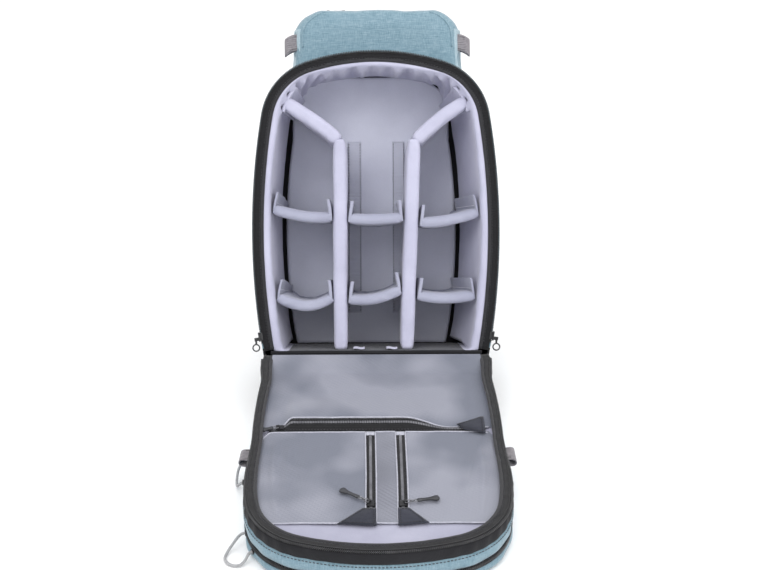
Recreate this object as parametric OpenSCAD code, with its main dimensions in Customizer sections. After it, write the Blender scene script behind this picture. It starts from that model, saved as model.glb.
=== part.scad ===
// Camera backpack with a clamshell front panel, standing open.
// The case leans back on its heel and the front panel lies on the floor in front of it.
// Case parts are drawn upright, with the hinge line on the X axis, the opening in the
// plane y = 0 and the depth along +Y.  Panel parts are drawn as if the panel were closed,
// on the -Y side of the same plane.

/* [Opening] */
// Height of the zipped opening above the hinge line
open_h = 360; // [340:1:380]
// Radius of the arch at its crown
crown_r = 265; // [255:1:275]
// Radius of the arch's shoulders
shoulder_r = 80; // [76:1:84]
// Radius of the bowed sides
side_r = 850; // [820:1:880]

/* [Case] */
// Depth of the case from the opening to its back face
case_d = 130; // [125:1:135]
// Height of the boot below the hinge line
boot_h = 33; // [31:1:36]
// Lean of the case from upright, in degrees
lean = 23; // [21:1:25]
// Flattening of the heel where the case rests
heel_cut = 2.2; // [1.6:0.1:2.4]
// Thickness of the padded walls with their lining
wall_pad = 23; // [20:1:24]
// Thickness of the shell cloth
cloth = 2.5; // [2:0.1:3]

/* [Front panel] */
// Slope of the open panel below level, in degrees
panel_down = 5; // [4:1:6]
// Depth of the black gusset next to the zip
gusset_t = 18; // [16:1:19]
// Depth of the panel to the far side of its coloured band
band_t = 34; // [33:1:36]
// Depth of the panel to the far side of the pocket zip
pocket_zip_t = 40; // [39:1:41]

/* [Dividers] */
// Thickness of the two long dividers
long_t = 16; // [14:1:17]
// Thickness of the short dividers
short_t = 11; // [9:1:12]
// Thickness of the hook tabs
tab_t = 2; // [1.5:0.1:2.4]
// Height of the hook tabs
tab_h = 22; // [18:1:24]

/* [Hood] */
// Width of the hood pocket
hood_w = 206; // [190:1:212]
// Height of the hood's top above the hinge line
hood_top = 413; // [405:1:420]
// Distance from the opening plane to the hood's front
hood_y = 42; // [38:1:50]

/* [Harness] */
// Width of the padded shoulder straps
strap_w = 62; // [54:1:66]
// Width of the webbing
web_w = 20; // [18:1:22]
// Thickness of the webbing
web_t = 2; // [1.6:0.1:2.2]

/* [Hidden] */

// Colours
teal = [0.56, 0.69, 0.75];
black = [0.13, 0.13, 0.14];
charcoal = [0.27, 0.27, 0.30];
webbing_grey = [0.50, 0.49, 0.52];
light_lining = [0.76, 0.76, 0.84];
mid_lining = [0.52, 0.53, 0.58];
mesh_grey = [0.66, 0.67, 0.73];
cord_grey = [0.72, 0.72, 0.73];
metal = [0.45, 0.45, 0.47];

// Opening outline: a crown arc, two shoulder arcs and two bowed side arcs, all tangent
crown_a = 72;      // where the crown arc meets the shoulder arc
shoulder_a = 9.5;  // where the shoulder arc meets the side arc
crown_c = [0, open_h - crown_r];
shoulder_c = crown_c + (crown_r - shoulder_r) * [cos(crown_a), sin(crown_a)];
side_c = shoulder_c + (shoulder_r - side_r) * [cos(shoulder_a), sin(shoulder_a)];

function arc(c, r, a, b, n) = [for (i = [0:n]) c + r * [cos(a + (b - a) * i / n), sin(a + (b - a) * i / n)]];
function tail(p) = [for (i = [1:len(p) - 1]) p[i]];
function backwards(p) = [for (i = [len(p) - 1:-1:0]) p[i]];
function flipped(p) = [for (q = p) [-q[0], q[1]]];
function side_angle(inset, z) = asin((z - side_c[1]) / (side_r - inset));
function side_x(inset, z) = side_c[0] + (side_r - inset) * cos(side_angle(inset, z));

// Right half of the arch at an inset, from height z on the side up to the crown
function half_arch(inset, z) = concat(
  arc(side_c, side_r - inset, side_angle(inset, z), shoulder_a, 8),
  tail(arc(shoulder_c, shoulder_r - inset, shoulder_a, crown_a, 9)),
  tail(arc(crown_c, crown_r - inset, crown_a, 90, 4)));
function arch(inset, z) = concat(half_arch(inset, z), tail(backwards(flipped(half_arch(inset, z)))));

// Closed outline at an inset, with a flat floor at height z and floor corners of radius r
function corner_a(inset, z, r) = asin((z + r - side_c[1]) / (side_r - inset - r));
function corner_c(inset, z, r) = side_c + (side_r - inset - r) * [cos(corner_a(inset, z, r)), sin(corner_a(inset, z, r))];
function half_outline(inset, z, r) = concat(
  arc(corner_c(inset, z, r), r, -90, corner_a(inset, z, r), 5),
  tail(arc(side_c, side_r - inset, corner_a(inset, z, r), shoulder_a, 8)),
  tail(arc(shoulder_c, shoulder_r - inset, shoulder_a, crown_a, 9)),
  tail(arc(crown_c, crown_r - inset, crown_a, 90, 4)));
function outline(inset, z, r) = concat(half_outline(inset, z, r), tail(backwards(flipped(half_outline(inset, z, r)))));

// Band of even thickness along a line of points
function unit(v) = v / norm(v);
function along(p, i) = unit(p[min(i + 1, len(p) - 1)] - p[max(i - 1, 0)]);
function beside(p, i, d) = p[i] + d * [-along(p, i)[1], along(p, i)[0]];
function band(p, t) = concat(
  [for (i = [0:len(p) - 1]) beside(p, i, t / 2)],
  [for (i = [len(p) - 1:-1:0]) beside(p, i, -t / 2)]);
function sagging(a, b, sag) = [for (i = [0:8]) let (u = i / 8) a + (b - a) * u - [0, 4 * sag * u * (1 - u)]];

// Placing
hinge_y = 200;
hinge_z = case_d * sin(lean) + boot_h * cos(lean) - heel_cut;
panel_turn = 90 + panel_down;
boot_bottom = -boot_h;
boot_corner = 22;
boot_top = 5;
hinge_gap = 9;     // the zip ends this far above the hinge line
zip_end = hinge_gap + 1;
module in_case() { translate([0, hinge_y, hinge_z]) rotate([-lean, 0, 0]) children(); }
module in_panel() { translate([0, hinge_y, hinge_z]) rotate([panel_turn, 0, 0]) children(); }
module above_floor() { intersection() { children(); translate([-300, -400, 0]) cube([600, 1100, 700]); } }
// A shape drawn in (x, z), pulled from depth y0 to y1
module slab(p, y0, y1) { translate([0, y1, 0]) rotate([90, 0, 0]) linear_extrude(y1 - y0) polygon(p); }
module strip(outer, inner, y0, y1) { slab(concat(arch(outer, zip_end), backwards(arch(inner, zip_end))), y0, y1); }

// Zip and binding, mirrored about the opening plane
coil_w = 2.2;
coil_near = 0.7;
coil_far = 2.7;
tape_in = 10;
binding_in = 13.5;
module zip_coil() { strip(0, coil_w, coil_near, coil_far); }
module zip_tape() { strip(coil_w, tape_in, 1.1, 2.3); }
module edge_binding() { strip(tape_in, binding_in, 0.4, 3.2); }

// ---- Case ----
module shell_tray() {
  difference() {
    slab(outline(0, boot_bottom, boot_corner), coil_far, case_d);
    slab(outline(cloth, boot_bottom + cloth, boot_corner - cloth), coil_far - 1, case_d - cloth);
  }
}
module outer_shell() {
  color(teal) in_case() intersection() {
    shell_tray();
    translate([-200, 0, boot_top]) cube([400, 200, 400]);
  }
}
module base_boot() {
  color(black) above_floor() in_case() union() {
    intersection() {
      shell_tray();
      translate([-200, 0, boot_bottom - 1]) cube([400, 200, boot_top - boot_bottom + 1]);
    }
    intersection() {
      slab(outline(0, boot_bottom, boot_corner), 0.5, coil_far + 0.6);
      translate([-200, 0, boot_bottom - 1]) cube([400, 200, boot_h - 2.5]);
    }
  }
}
sheet_t = 2;
sheet_y = case_d - cloth - sheet_t - 0.2;
module stiffener_sheet() {
  color(charcoal) in_case() slab(outline(8, boot_top, 12), sheet_y, sheet_y + sheet_t);
}
pad_t = 12;
module back_pad() {
  // Ribbed mesh back panel: a base layer with a spine channel between two cushions
  color(charcoal) in_case() union() {
    slab(outline(16, 14, 24), case_d + 0.1, case_d + 4);
    for (side = [-1, 1], row = [0:3])
      translate([side * 52 - 34, case_d + 3.9, 34 + row * 76]) cube([68, pad_t - 4, 66]);
  }
}
lining_floor = 3;   // just above the hinge piping, so the dividers slide over it
cavity_in = cloth + 0.2 + wall_pad;
ceiling_lift = 11; // the ceiling is padded more thinly than the sides
module cavity(inset, floor_z, r, y0, y1) {
  translate([0, 0, ceiling_lift]) slab(outline(inset, floor_z - ceiling_lift, r), y0, y1);
}
pad_y0 = 3.3;
pad_y1 = 119;
module wall_padding() {
  color(light_lining) in_case() difference() {
    slab(outline(cloth + 0.2, boot_bottom + cloth + 0.2, boot_corner - cloth - 0.2), pad_y0, pad_y1);
    cavity(cavity_in, lining_floor, 5, pad_y0 - 1, pad_y1 + 1);
    // the padding stands back behind the boot's front wall
    translate([-200, pad_y0 - 1, boot_bottom - 1]) cube([400, 1.6, boot_h - 1]);
  }
}
lining_gap = 5;
module back_lining() {
  color(mid_lining) in_case() cavity(cavity_in + lining_gap, lining_floor + 2, 6, 118, 123);
}
module case_zip_coil() { color(black) in_case() zip_coil(); }
module case_zip_tape() { color(black) in_case() zip_tape(); }
module case_binding() { color(charcoal) in_case() edge_binding(); }
piping_r = 2.5;
piping_half = 126;
module hinge_piping() {
  color(black) in_case() translate([-piping_half, 0, 0]) rotate([0, 90, 0]) cylinder(h = 2 * piping_half, r = piping_r, $fn = 32);
}

// ---- Hood ----
hood_r = 24;
hood_back = case_d - 2;
// Hood outline at an inset, standing on the case's arch
module hood_block(inset) {
  half = hood_w / 2 - inset;
  top = hood_top - inset;
  right = concat(
    [[half + 4, 300], [half + 4, 330]],
    arc([half - hood_r, top - hood_r], hood_r, 0, 90, 6));
  slab(concat(right, backwards(flipped(right))), hood_y + inset, hood_back - inset);
}
module hood_pocket() {
  color(teal) in_case() difference() {
    hood_block(0);
    slab(outline(-0.2, 200, 10), hood_y - 1, case_d);
    difference() {
      hood_block(cloth);
      slab(outline(-0.2 - cloth, 200, 10), hood_y - 1, case_d);
    }
  }
}
hood_zip_y = 78;
hood_zip_half = 68;
hood_zip_z = hood_top + 0.1;
module hood_zip() {
  color(black) in_case() union() {
    translate([-hood_zip_half - 6, hood_zip_y - 12, hood_zip_z]) cube([2 * hood_zip_half + 12, 24, 1]);
    translate([-hood_zip_half, hood_zip_y - 2.5, hood_zip_z + 0.5]) cube([2 * hood_zip_half, 5, 1.7]);
  }
}
// Flat webbing loop that stands out of a wall along +X, with its slot along Z
loop_out = 11;
loop_gap = 7;
module web_loop(width) {
  outer_r = loop_gap / 2 + web_t;
  difference() {
    linear_extrude(width) union() {
      translate([0, -outer_r]) square([loop_out - outer_r, 2 * outer_r]);
      translate([loop_out - outer_r, 0]) circle(r = outer_r, $fn = 32);
    }
    translate([web_t, -loop_gap / 2, -1]) cube([loop_out - outer_r - web_t, loop_gap, width + 2]);
    translate([loop_out - outer_r, 0, -1]) cylinder(h = width + 2, r = loop_gap / 2, $fn = 32);
  }
}
hood_loop_z = 368;
hood_loop_y = 56;
module hood_loops() {
  color(webbing_grey) in_case() for (side = [0, 1])
    mirror([side, 0, 0]) translate([hood_w / 2 + 2.4, hood_loop_y, hood_loop_z]) web_loop(23);
}
handle_z = 388;
handle_half = 52;
module grab_handle() {
  // Padded webbing handle that arches off the back below the hood's top
  bow = [for (i = [0:10]) [handle_half * cos(180 * i / 10), case_d + 2 + 30 * sin(180 * i / 10)]];
  color(webbing_grey) in_case() translate([0, 0, handle_z]) union() {
    linear_extrude(24) polygon(band(bow, 4));
    for (side = [-1, 1])
      translate([side * (handle_half + 5) - 9, case_d - 1.9, -16]) cube([18, 2.4, 40]);
  }
}

// ---- Harness ----
// Centre line of the right shoulder strap: x, y, z
strap_route = [
  [52, 138.5, 352], [55, 149, 340], [58, 162, 318], [63, 176, 280], [70, 184, 235],
  [79, 184, 190], [88, 176, 145], [95, 164, 108], [99, 153, 82]];
strap_t = 13;
module strap_slice(i) {
  d = unit(strap_route[min(i + 1, len(strap_route) - 1)] - strap_route[max(i - 1, 0)]);
  pitch = atan2(d[1], -d[2]);
  width = strap_w - (i < 2 ? 10 : 0) - (i == len(strap_route) - 1 ? 14 : 0);
  translate(strap_route[i]) rotate([pitch, 0, 0]) cube([width, strap_t, 1], center = true);
}
module strap_right() {
  union() {
    for (i = [0:len(strap_route) - 2]) hull() { strap_slice(i); strap_slice(i + 1); }
  }
}
module shoulder_strap_right() { color(charcoal) in_case() strap_right(); }
module shoulder_strap_left() { color(charcoal) in_case() mirror([1, 0, 0]) strap_right(); }
// Webbing tail from the strap's lower end through the lock to the boot's corner
web_path = [[146.5, 60], [143, 44], [138, 24], [134, 6], [131.2, -4], [131.2, -20]];
web_x = 101;
module strap_webbing() {
  color(webbing_grey) in_case() for (side = [-1, 1]) {
    translate([side * web_x - web_w / 2, 0, 0]) rotate([90, 0, 90]) linear_extrude(web_w) polygon(band(web_path, web_t));
  }
}
lock_at = [web_x, 149.6, 70];
module ladder_locks() {
  // Three-bar buckle at the lower end of each shoulder strap
  color(black) in_case() for (side = [-1, 1])
    translate([side * lock_at[0], lock_at[1], lock_at[2]]) rotate([-16, 0, 0]) difference() {
      translate([-15, -2, -9]) cube([30, 4, 20]);
      for (z = [-6, 1.5]) translate([-11, -3, z]) cube([22, 6, 4.5]);
    }
}

// ---- Dividers ----
div_y0 = 8;
div_y1 = 117.5;
module divider_body(p) { slab(p, div_y0, div_y1); }
arm_foot = 260;
arm_end = [110, 304];
// Long divider on the right: foot x, x at the bend
function long_line(foot_x, bend_x) = [
  [foot_x, lining_floor + 0.5], [(foot_x + bend_x) / 2, arm_foot / 2], [bend_x, arm_foot - 14],
  [bend_x + 1.5, arm_foot - 5], [bend_x + 7, arm_foot + 3], [bend_x + 15, arm_foot + 8], arm_end];
wall_r = shoulder_r - cavity_in;
wall_c = shoulder_c + [0, ceiling_lift];
tab_gap = 0.5;
module long_divider(foot_x, bend_x) {
  union() {
    difference() {
      divider_body(band(long_line(foot_x, bend_x), long_t));
      // the arm's end follows the wall
      difference() {
        translate([60, 0, 250]) cube([100, 130, 100]);
        translate([wall_c[0], 200, wall_c[1]]) rotate([90, 0, 0]) cylinder(h = 260, r = wall_r - tab_gap, $fn = 64);
      }
    }
    // hook tab against the wall
    slab(concat(
      arc(wall_c, wall_r - tab_gap, 22, 56, 8),
      backwards(arc(wall_c, wall_r - tab_gap - tab_t, 22, 56, 8))), div_y0, div_y1);
  }
}
foot_left = 43;
bend_left = 42;
foot_right = 37;
bend_right = 46;
module long_divider_left() { color(light_lining) in_case() mirror([1, 0, 0]) long_divider(foot_left, bend_left); }
module long_divider_right() { color(light_lining) in_case() long_divider(foot_right, bend_right); }

// Centre x of a long divider at height z, for its side
function long_x(foot_x, bend_x, z) = foot_x + (bend_x - foot_x) * min(1, (z - lining_floor) / (arm_foot - 14 - lining_floor));
face_left = [foot_left, bend_left];
face_right = [foot_right, bend_right];
// Where a shelf's tab may stand: beside a wall or beside a long divider
function wall_stop(z) = side_x(cavity_in, z - ceiling_lift) - tab_gap;
function inner_stop(f, z) = long_x(f[0], f[1], z) - long_t / 2 - tab_gap;
function outer_stop(f, z) = long_x(f[0], f[1], z) + long_t / 2 + tab_gap;
// Sagging shelf between x0 and x1, with a hook tab turned up at each end
module shelf(x0, z0, x1, z1, sag) {
  tab_foot = short_t / 2 - 1;
  intersection() {
    union() {
      divider_body(band(sagging([x0 + tab_t, z0], [x1 - tab_t, z1], sag), short_t));
      divider_body([[x0, z0 - tab_foot], [x0, z0 + tab_h], [x0 + tab_t, z0 + tab_h], [x0 + tab_t, z0 - tab_foot]]);
      divider_body([[x1, z1 - tab_foot], [x1, z1 + tab_h], [x1 - tab_t, z1 + tab_h], [x1 - tab_t, z1 - tab_foot]]);
    }
    translate([x0, 0, 0]) cube([x1 - x0, case_d, 300]);
  }
}
module side_shelf(f, z_wall, z_in, sag) {
  // drawn on the right: inner end beside the long divider, outer end at the wall
  lo = z_wall - short_t / 2;
  hi = z_wall + tab_h;
  wall_lo = min(wall_stop(lo), wall_stop(hi));
  in_lo = outer_stop(f, z_in - short_t / 2);
  in_hi = outer_stop(f, z_in + tab_h);
  shelf(max(in_lo, in_hi), z_in, wall_lo, z_wall, sag);
}
module centre_shelf(z_left, z_right, sag) {
  left = -min(inner_stop(face_left, z_left - short_t), inner_stop(face_left, z_left + tab_h));
  right = min(inner_stop(face_right, z_right - short_t), inner_stop(face_right, z_right + tab_h));
  shelf(left, z_left, right, z_right, sag);
}
module shelf_left_upper() { color(light_lining) in_case() mirror([1, 0, 0]) side_shelf(face_left, 172, 163, 4); }
module shelf_left_lower() { color(light_lining) in_case() mirror([1, 0, 0]) side_shelf(face_left, 67, 66, 11); }
module shelf_centre_upper() { color(light_lining) in_case() centre_shelf(161, 162, 2); }
module shelf_centre_lower() { color(light_lining) in_case() centre_shelf(64, 75, 6); }
module shelf_right_upper() { color(light_lining) in_case() side_shelf(face_right, 168, 156, 4); }
module shelf_right_lower() { color(light_lining) in_case() side_shelf(face_right, 68, 68, 4); }

// ---- Main zip sliders ----
// A slider turns about the side arc's centre, so that it follows the zip
slider_z = 14;
slider_l = 11;
lug_out = 5.4;
ring_r = 4;
ring_wire = 0.8;
slider_x = side_x(0, slider_z + slider_l / 2);
slider_tilt = side_angle(0, slider_z + slider_l / 2);
ring_x = 1.8 + lug_out - 2;
lug_z = 3 - slider_l / 2;
module slider_frame() { translate([slider_x, 0, slider_z + slider_l / 2]) rotate([0, -slider_tilt, 0]) children(); }
module case_slider() {
  slider_frame() union() {
    translate([0.45, -4, -slider_l / 2]) cube([1.4, 8, slider_l]);
    translate([-3, -0.35, -slider_l / 2 + 1]) cube([3.6, 0.7, slider_l - 2]);
    // lug with a cross pin's bore for the pull
    difference() {
      translate([1.8, -1.6, lug_z - 2]) cube([lug_out, 3.2, 4]);
      translate([ring_x, 3, lug_z]) rotate([90, 0, 0]) cylinder(h = 6, r = 1, $fn = 24);
    }
  }
}
module ring_pull() {
  // pin through the lug, two cheeks and a round ring that hangs below it
  slider_frame() translate([ring_x, 0, lug_z]) rotate([0, slider_tilt, 0]) union() {
    translate([0, 2.6, 0]) rotate([90, 0, 0]) cylinder(h = 5.2, r = 0.95, $fn = 24);
    for (y = [-2.6, 1.8]) translate([-0.95, y, -5]) cube([1.9, 0.8, 5.8]);
    translate([-0.95, -2.6, -6]) cube([1.9, 5.2, 1.2]);
    translate([0, 0, -6 - ring_r]) rotate([90, 0, 0]) rotate_extrude($fn = 48) translate([ring_r, 0]) circle(r = ring_wire, $fn = 16);
  }
}
module case_slider_right() { color(black) in_case() case_slider(); }
module case_slider_left() { color(black) in_case() mirror([1, 0, 0]) case_slider(); }
module ring_pull_right() { color(black) in_case() ring_pull(); }
module ring_pull_left() { color(black) in_case() mirror([1, 0, 0]) ring_pull(); }

// ---- Small sliders and pulls ----
// Drawn flat: the zip runs along X, the cloth below z = 0, the pull hinged above the slider
small_l = 9;
small_w = 7;
coil_top = 1;
body_h = 1.9;
pin_x = 2.4;
pin_z = 3.7;
module small_slider(turn, l = small_l, w = small_w) {
  union() {
    translate([-l / 2, -w / 2, coil_top + 0.2]) cube([l, w, body_h - 0.4]);
    rotate([0, 0, turn]) difference() {
      translate([pin_x - 1.6, -1.5, coil_top + body_h - 0.3]) cube([3.2, 3, 2.6]);
      translate([pin_x, 2, pin_z]) rotate([90, 0, 0]) cylinder(h = 4, r = 0.75, $fn = 24);
    }
  }
}
// Pull that lies away from its pin at a turn: pin, two cheeks and a soft tab
module small_pull(turn, length) {
  rotate([0, 0, turn]) translate([pin_x, 0, pin_z]) union() {
    translate([0, 2.6, 0]) rotate([90, 0, 0]) cylinder(h = 5.2, r = 0.7, $fn = 24);
    for (y = [-2.6, 1.7]) translate([-0.7, y, -0.7]) cube([6, 0.9, 1.4]);
    translate([4, -2.6, -0.7]) cube([1.4, 5.2, 1.4]);
    translate([5.2, -3, -0.9]) cube([length - 5.2, 6, 1.8]);
  }
}
pull_l = 22;

hood_slider_x = -60;
module on_hood() { in_case() translate([hood_slider_x, hood_zip_y, hood_zip_z + 1.2]) children(); }
module hood_slider() { color(black) on_hood() small_slider(0); }
module hood_pull() { color(charcoal) on_hood() small_pull(0, pull_l); }

// ---- Front panel ----
wedge_a = 57;      // the panel's hinge end stays inside this angle, so it clears the boot
module panel_space() {
  intersection() {
    above_floor() in_panel() children();
    in_panel() rotate([wedge_a, 0, 0]) translate([-200, 0, -300]) cube([400, 600, 900]);
  }
}
panel_foot = 5;
module plate(inset, foot, r, t0, t1) { slab(outline(inset, foot, r), -t1, -t0); }
gusset_w = 3;
module panel_gusset() {
  color(black) panel_space() difference() {
    plate(0, panel_foot, 6, coil_far, gusset_t);
    plate(gusset_w, panel_foot + gusset_w, 5, coil_far - 1, gusset_t + 1);
  }
}
lining_t0 = 10.5;
lining_t1 = 15.5;
module panel_lining() { color(light_lining) panel_space() plate(gusset_w + 0.2, 9, 5, lining_t0, lining_t1); }
module panel_body() {
  color(teal) panel_space() union() {
    plate(gusset_w + 0.2, 9, 5, lining_t1, gusset_t + 0.5);
    plate(0, panel_foot, 6, gusset_t, band_t);
  }
}
module front_pocket_zip() {
  color(black) panel_space() slab(
    concat(arch(0, 34), backwards(arch(gusset_w, 34))), -pocket_zip_t, -band_t);
}
module front_pocket() {
  color(teal) panel_space() union() {
    difference() {
      plate(0, panel_foot, 6, band_t, pocket_zip_t);
      slab(concat(arch(-1, 33.5), backwards(arch(gusset_w + 0.2, 33.5))), -pocket_zip_t - 1, -band_t + 1);
    }
    plate(0, panel_foot, 6, pocket_zip_t, 120);
  }
}
module panel_zip_coil() { color(black) in_panel() mirror([0, 1, 0]) zip_coil(); }
module panel_zip_tape() { color(black) in_panel() mirror([0, 1, 0]) zip_tape(); }
module panel_binding() { color(charcoal) in_panel() mirror([0, 1, 0]) edge_binding(); }

// Mesh pockets: flat sheets held above the lining, with zips between them
sheet_in = 13.7;
mesh_t0 = 8;
mesh_t1 = 9.2;
zip_w = 11;
upper_zip_s = 144;
lower_s0 = upper_zip_s + zip_w / 2;
lower_s1 = 312;
left_zip_x = -8;
right_zip_x = 25;
garage_s = 284;
module sheet_part(x0, x1, s0, s1) {
  intersection() {
    plate(sheet_in, 12, 5, mesh_t0, mesh_t1);
    translate([x0, -20, s0]) cube([x1 - x0, 20, s1 - s0]);
  }
}
module upper_mesh_pocket() { color(mesh_grey) in_panel() sheet_part(-200, 200, 0, upper_zip_s - zip_w / 2); }
module left_mesh_pocket() { color(mesh_grey) in_panel() sheet_part(-200, left_zip_x - zip_w / 2, lower_s0, lower_s1); }
module right_mesh_pocket() { color(mesh_grey) in_panel() sheet_part(right_zip_x + zip_w / 2, 200, lower_s0, lower_s1); }
module centre_strip() {
  color(mesh_grey) in_panel() sheet_part(left_zip_x + zip_w / 2, right_zip_x - zip_w / 2, lower_s0, lower_s1);
}
// A pocket zip: tape with a raised coil, drawn along X, top of the tape at z = 0
module pocket_zip(length) {
  union() {
    translate([0, -zip_w / 2, -(mesh_t1 - mesh_t0)]) cube([length, zip_w, mesh_t1 - mesh_t0]);
    translate([1, -1.5, -0.2]) cube([length - 2, 3, coil_top + 0.2]);
  }
}
// Places a zip's own frame on the sheets, facing the case: x across, or s along the panel
module across(x, s) { in_panel() translate([x, -mesh_t0, s]) rotate([-90, 0, 0]) children(); }
module down_panel(x, s) { in_panel() translate([x, -mesh_t0, s]) rotate([-90, 90, 0]) children(); }
upper_zip_x0 = -125;
upper_zip_x1 = 125;
module upper_pocket_zip() { color(black) across(upper_zip_x0, upper_zip_s) pocket_zip(upper_zip_x1 - upper_zip_x0); }
long_zip = lower_s1 - lower_s0;
module left_pocket_zip() { color(black) down_panel(left_zip_x, lower_s1) pocket_zip(long_zip); }
module right_pocket_zip() { color(black) down_panel(right_zip_x, lower_s1) pocket_zip(long_zip); }
// Three-cornered flaps over the parked ends of the zips
flap_t0 = 6.2;
flap_t1 = mesh_t0 - coil_top - 0.1;
module zip_garages() {
  color(charcoal) in_panel() {
    slab([[-2.5, lower_s1], [-42, 309], [-16, garage_s], [-2.5, garage_s]], -flap_t1, -flap_t0);
    slab([[19.5, lower_s1], [19.5, garage_s], [31, garage_s], [51, 308]], -flap_t1, -flap_t0);
    slab([[90, upper_zip_s - 3], [125, 126], [125, 158], [98, upper_zip_s + 7]], -flap_t1, -flap_t0);
  }
}
low_slider_s = garage_s - 6;
upper_slider_x = -108;
upper_turn = 200;
left_turn = 138;
right_turn = 18;
low_pull_l = 36;
module upper_slider() { color(black) across(upper_slider_x, upper_zip_s) small_slider(upper_turn); }
module upper_pull() { color(charcoal) across(upper_slider_x, upper_zip_s) small_pull(upper_turn, pull_l - 4); }
module left_slider() { color(black) across(left_zip_x, low_slider_s) small_slider(left_turn, small_w, small_l); }
module left_pull() { color(charcoal) across(left_zip_x, low_slider_s) small_pull(left_turn, low_pull_l); }
module right_slider() { color(black) across(right_zip_x, low_slider_s) small_slider(right_turn, small_w, small_l); }
module right_pull() { color(charcoal) across(right_zip_x, low_slider_s) small_pull(right_turn, low_pull_l); }

// Front pocket's slider, on the zip at the panel's far end
front_t = (band_t + pocket_zip_t) / 2;
front_a = -7;      // where it is parked, in degrees round the crown's centre
module at_front() {
  in_panel() translate([crown_c[0], -front_t, crown_c[1]]) rotate([0, front_a, 0])
    translate([0, 0, crown_r - coil_top + 0.2]) children();
}
module front_slider() { color(black) at_front() small_slider(0); }
module front_pull() { color(charcoal) at_front() small_pull(0, pull_l); }

// Webbing loops on the panel's sides
panel_loop_s = 166;
panel_loop_t = 24;
module panel_loops() {
  color(webbing_grey) in_panel() for (side = [0, 1])
    mirror([side, 0, 0]) translate([side_x(0, panel_loop_s) + 0.2, -panel_loop_t, panel_loop_s]) web_loop(web_w);
}

// ---- Pole cords ----
// Elastic cord loops on the panel's left side: x, y, z from the panel's foot on the floor
cord_r = 1.5;
lower_route = [
  [-136.3, -80.5, 16.3], [-139.5, -81.1, 16.2], [-142.6, -82, 15], [-146, -84, 12], [-149.5, -87, 8.2],
  [-153, -91, 4.8], [-155.6, -95.6, 2.4], [-157, -100.6, 1.6], [-156.8, -105.8, 1.6],
  [-154.8, -110.6, 1.6], [-151.2, -114.4, 1.6], [-146.4, -116.6, 1.6], [-141.2, -116.4, 1.9],
  [-137.4, -113.8, 3.3], [-135, -111, 5.6], [-133.4, -108.6, 7.9], [-131.6, -106.6, 9.6],
  [-129.6, -105.3, 10.1], [-127.9, -104.4, 10.2]];
upper_route = [
  [-148, 47.3, 20.4], [-150, 47.2, 20.3], [-151.9, 46.6, 19.2], [-153.4, 45.3, 17.2],
  [-154.6, 43.4, 14.6], [-155.4, 41, 11.7], [-155.9, 38.2, 8.9], [-156.1, 35.2, 6.5],
  [-156, 32.2, 4.8], [-155.7, 29.3, 4], [-155.1, 26.8, 4.3], [-154.2, 24.8, 5.6],
  [-153, 23.5, 7.5], [-151.5, 22.8, 9.3], [-149.8, 22.7, 10.6], [-148.4, 22.7, 11.1],
  [-147.2, 22.8, 11.3]];
// Eyelets: depth below the panel's plane and angle round the side's or the shoulder's centre
lower_eyelets = [[38, 10], [42, 28.4]];
upper_eyelets = [[45, 0.9], [52, 2.6]];
function cord_dir(p, i) = unit(p[min(i + 1, len(p) - 1)] - p[max(i - 1, 0)]);
function cord_side(p, i) = unit(cross(cord_dir(p, i), [0, 0, 1]));
function cord_ring(p, i, r, n) = [for (k = [0:n - 1])
  p[i] + r * (cos(360 * k / n) * cord_side(p, i) + sin(360 * k / n) * cross(cord_side(p, i), cord_dir(p, i)))];
module cord(p, r) {
  n = 8;
  m = len(p);
  points = [for (i = [0:m - 1]) each cord_ring(p, i, r, n)];
  lower = [for (i = [0:m - 2], k = [0:n - 1]) [i * n + k, i * n + (k + 1) % n, (i + 1) * n + k]];
  upper = [for (i = [0:m - 2], k = [0:n - 1]) [i * n + (k + 1) % n, (i + 1) * n + (k + 1) % n, (i + 1) * n + k]];
  start = [[for (k = [n - 1:-1:0]) k]];
  end = [[for (k = [0:n - 1]) (m - 1) * n + k]];
  polyhedron(points = points, faces = concat(start, lower, upper, end), convexity = 6);
}
module pole_cord_lower() { color(cord_grey) cord(lower_route, cord_r); }
module pole_cord_upper() { color(cord_grey) cord(upper_route, cord_r); }
module eyelet(c, r, place) {
  mirror([1, 0, 0]) in_panel() translate([c[0], -place[0], c[1]]) rotate([0, 90 - place[1], 0])
    translate([0, 0, r + 0.1]) difference() {
      cylinder(h = 1.8, r = 3.2, $fn = 32);
      translate([0, 0, -1]) cylinder(h = 4, r = cord_r + 0.6, $fn = 32);
    }
}
module cord_eyelets() {
  color(black) {
    for (place = lower_eyelets) eyelet(shoulder_c, shoulder_r, place);
    for (place = upper_eyelets) eyelet(side_c, side_r, place);
  }
}

outer_shell();
base_boot();
stiffener_sheet();
back_pad();
wall_padding();
back_lining();
case_zip_coil();
case_zip_tape();
case_binding();
hinge_piping();
hood_pocket();
hood_zip();
hood_loops();
grab_handle();
shoulder_strap_left();
shoulder_strap_right();
strap_webbing();
ladder_locks();
long_divider_left();
long_divider_right();
shelf_left_upper();
shelf_left_lower();
shelf_centre_upper();
shelf_centre_lower();
shelf_right_upper();
shelf_right_lower();
case_slider_left();
case_slider_right();
ring_pull_left();
ring_pull_right();
hood_slider();
hood_pull();
panel_gusset();
panel_body();
front_pocket();
front_pocket_zip();
panel_lining();
panel_zip_coil();
panel_zip_tape();
panel_binding();
upper_mesh_pocket();
left_mesh_pocket();
right_mesh_pocket();
centre_strip();
upper_pocket_zip();
left_pocket_zip();
right_pocket_zip();
zip_garages();
panel_loops();
cord_eyelets();
pole_cord_lower();
pole_cord_upper();
upper_slider();
upper_pull();
left_slider();
left_pull();
right_slider();
right_pull();
front_slider();
front_pull();
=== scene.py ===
"""Camera backpack standing open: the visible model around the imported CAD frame."""
import math

import bmesh
import bpy
import numpy as np
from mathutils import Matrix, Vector, noise


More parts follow.
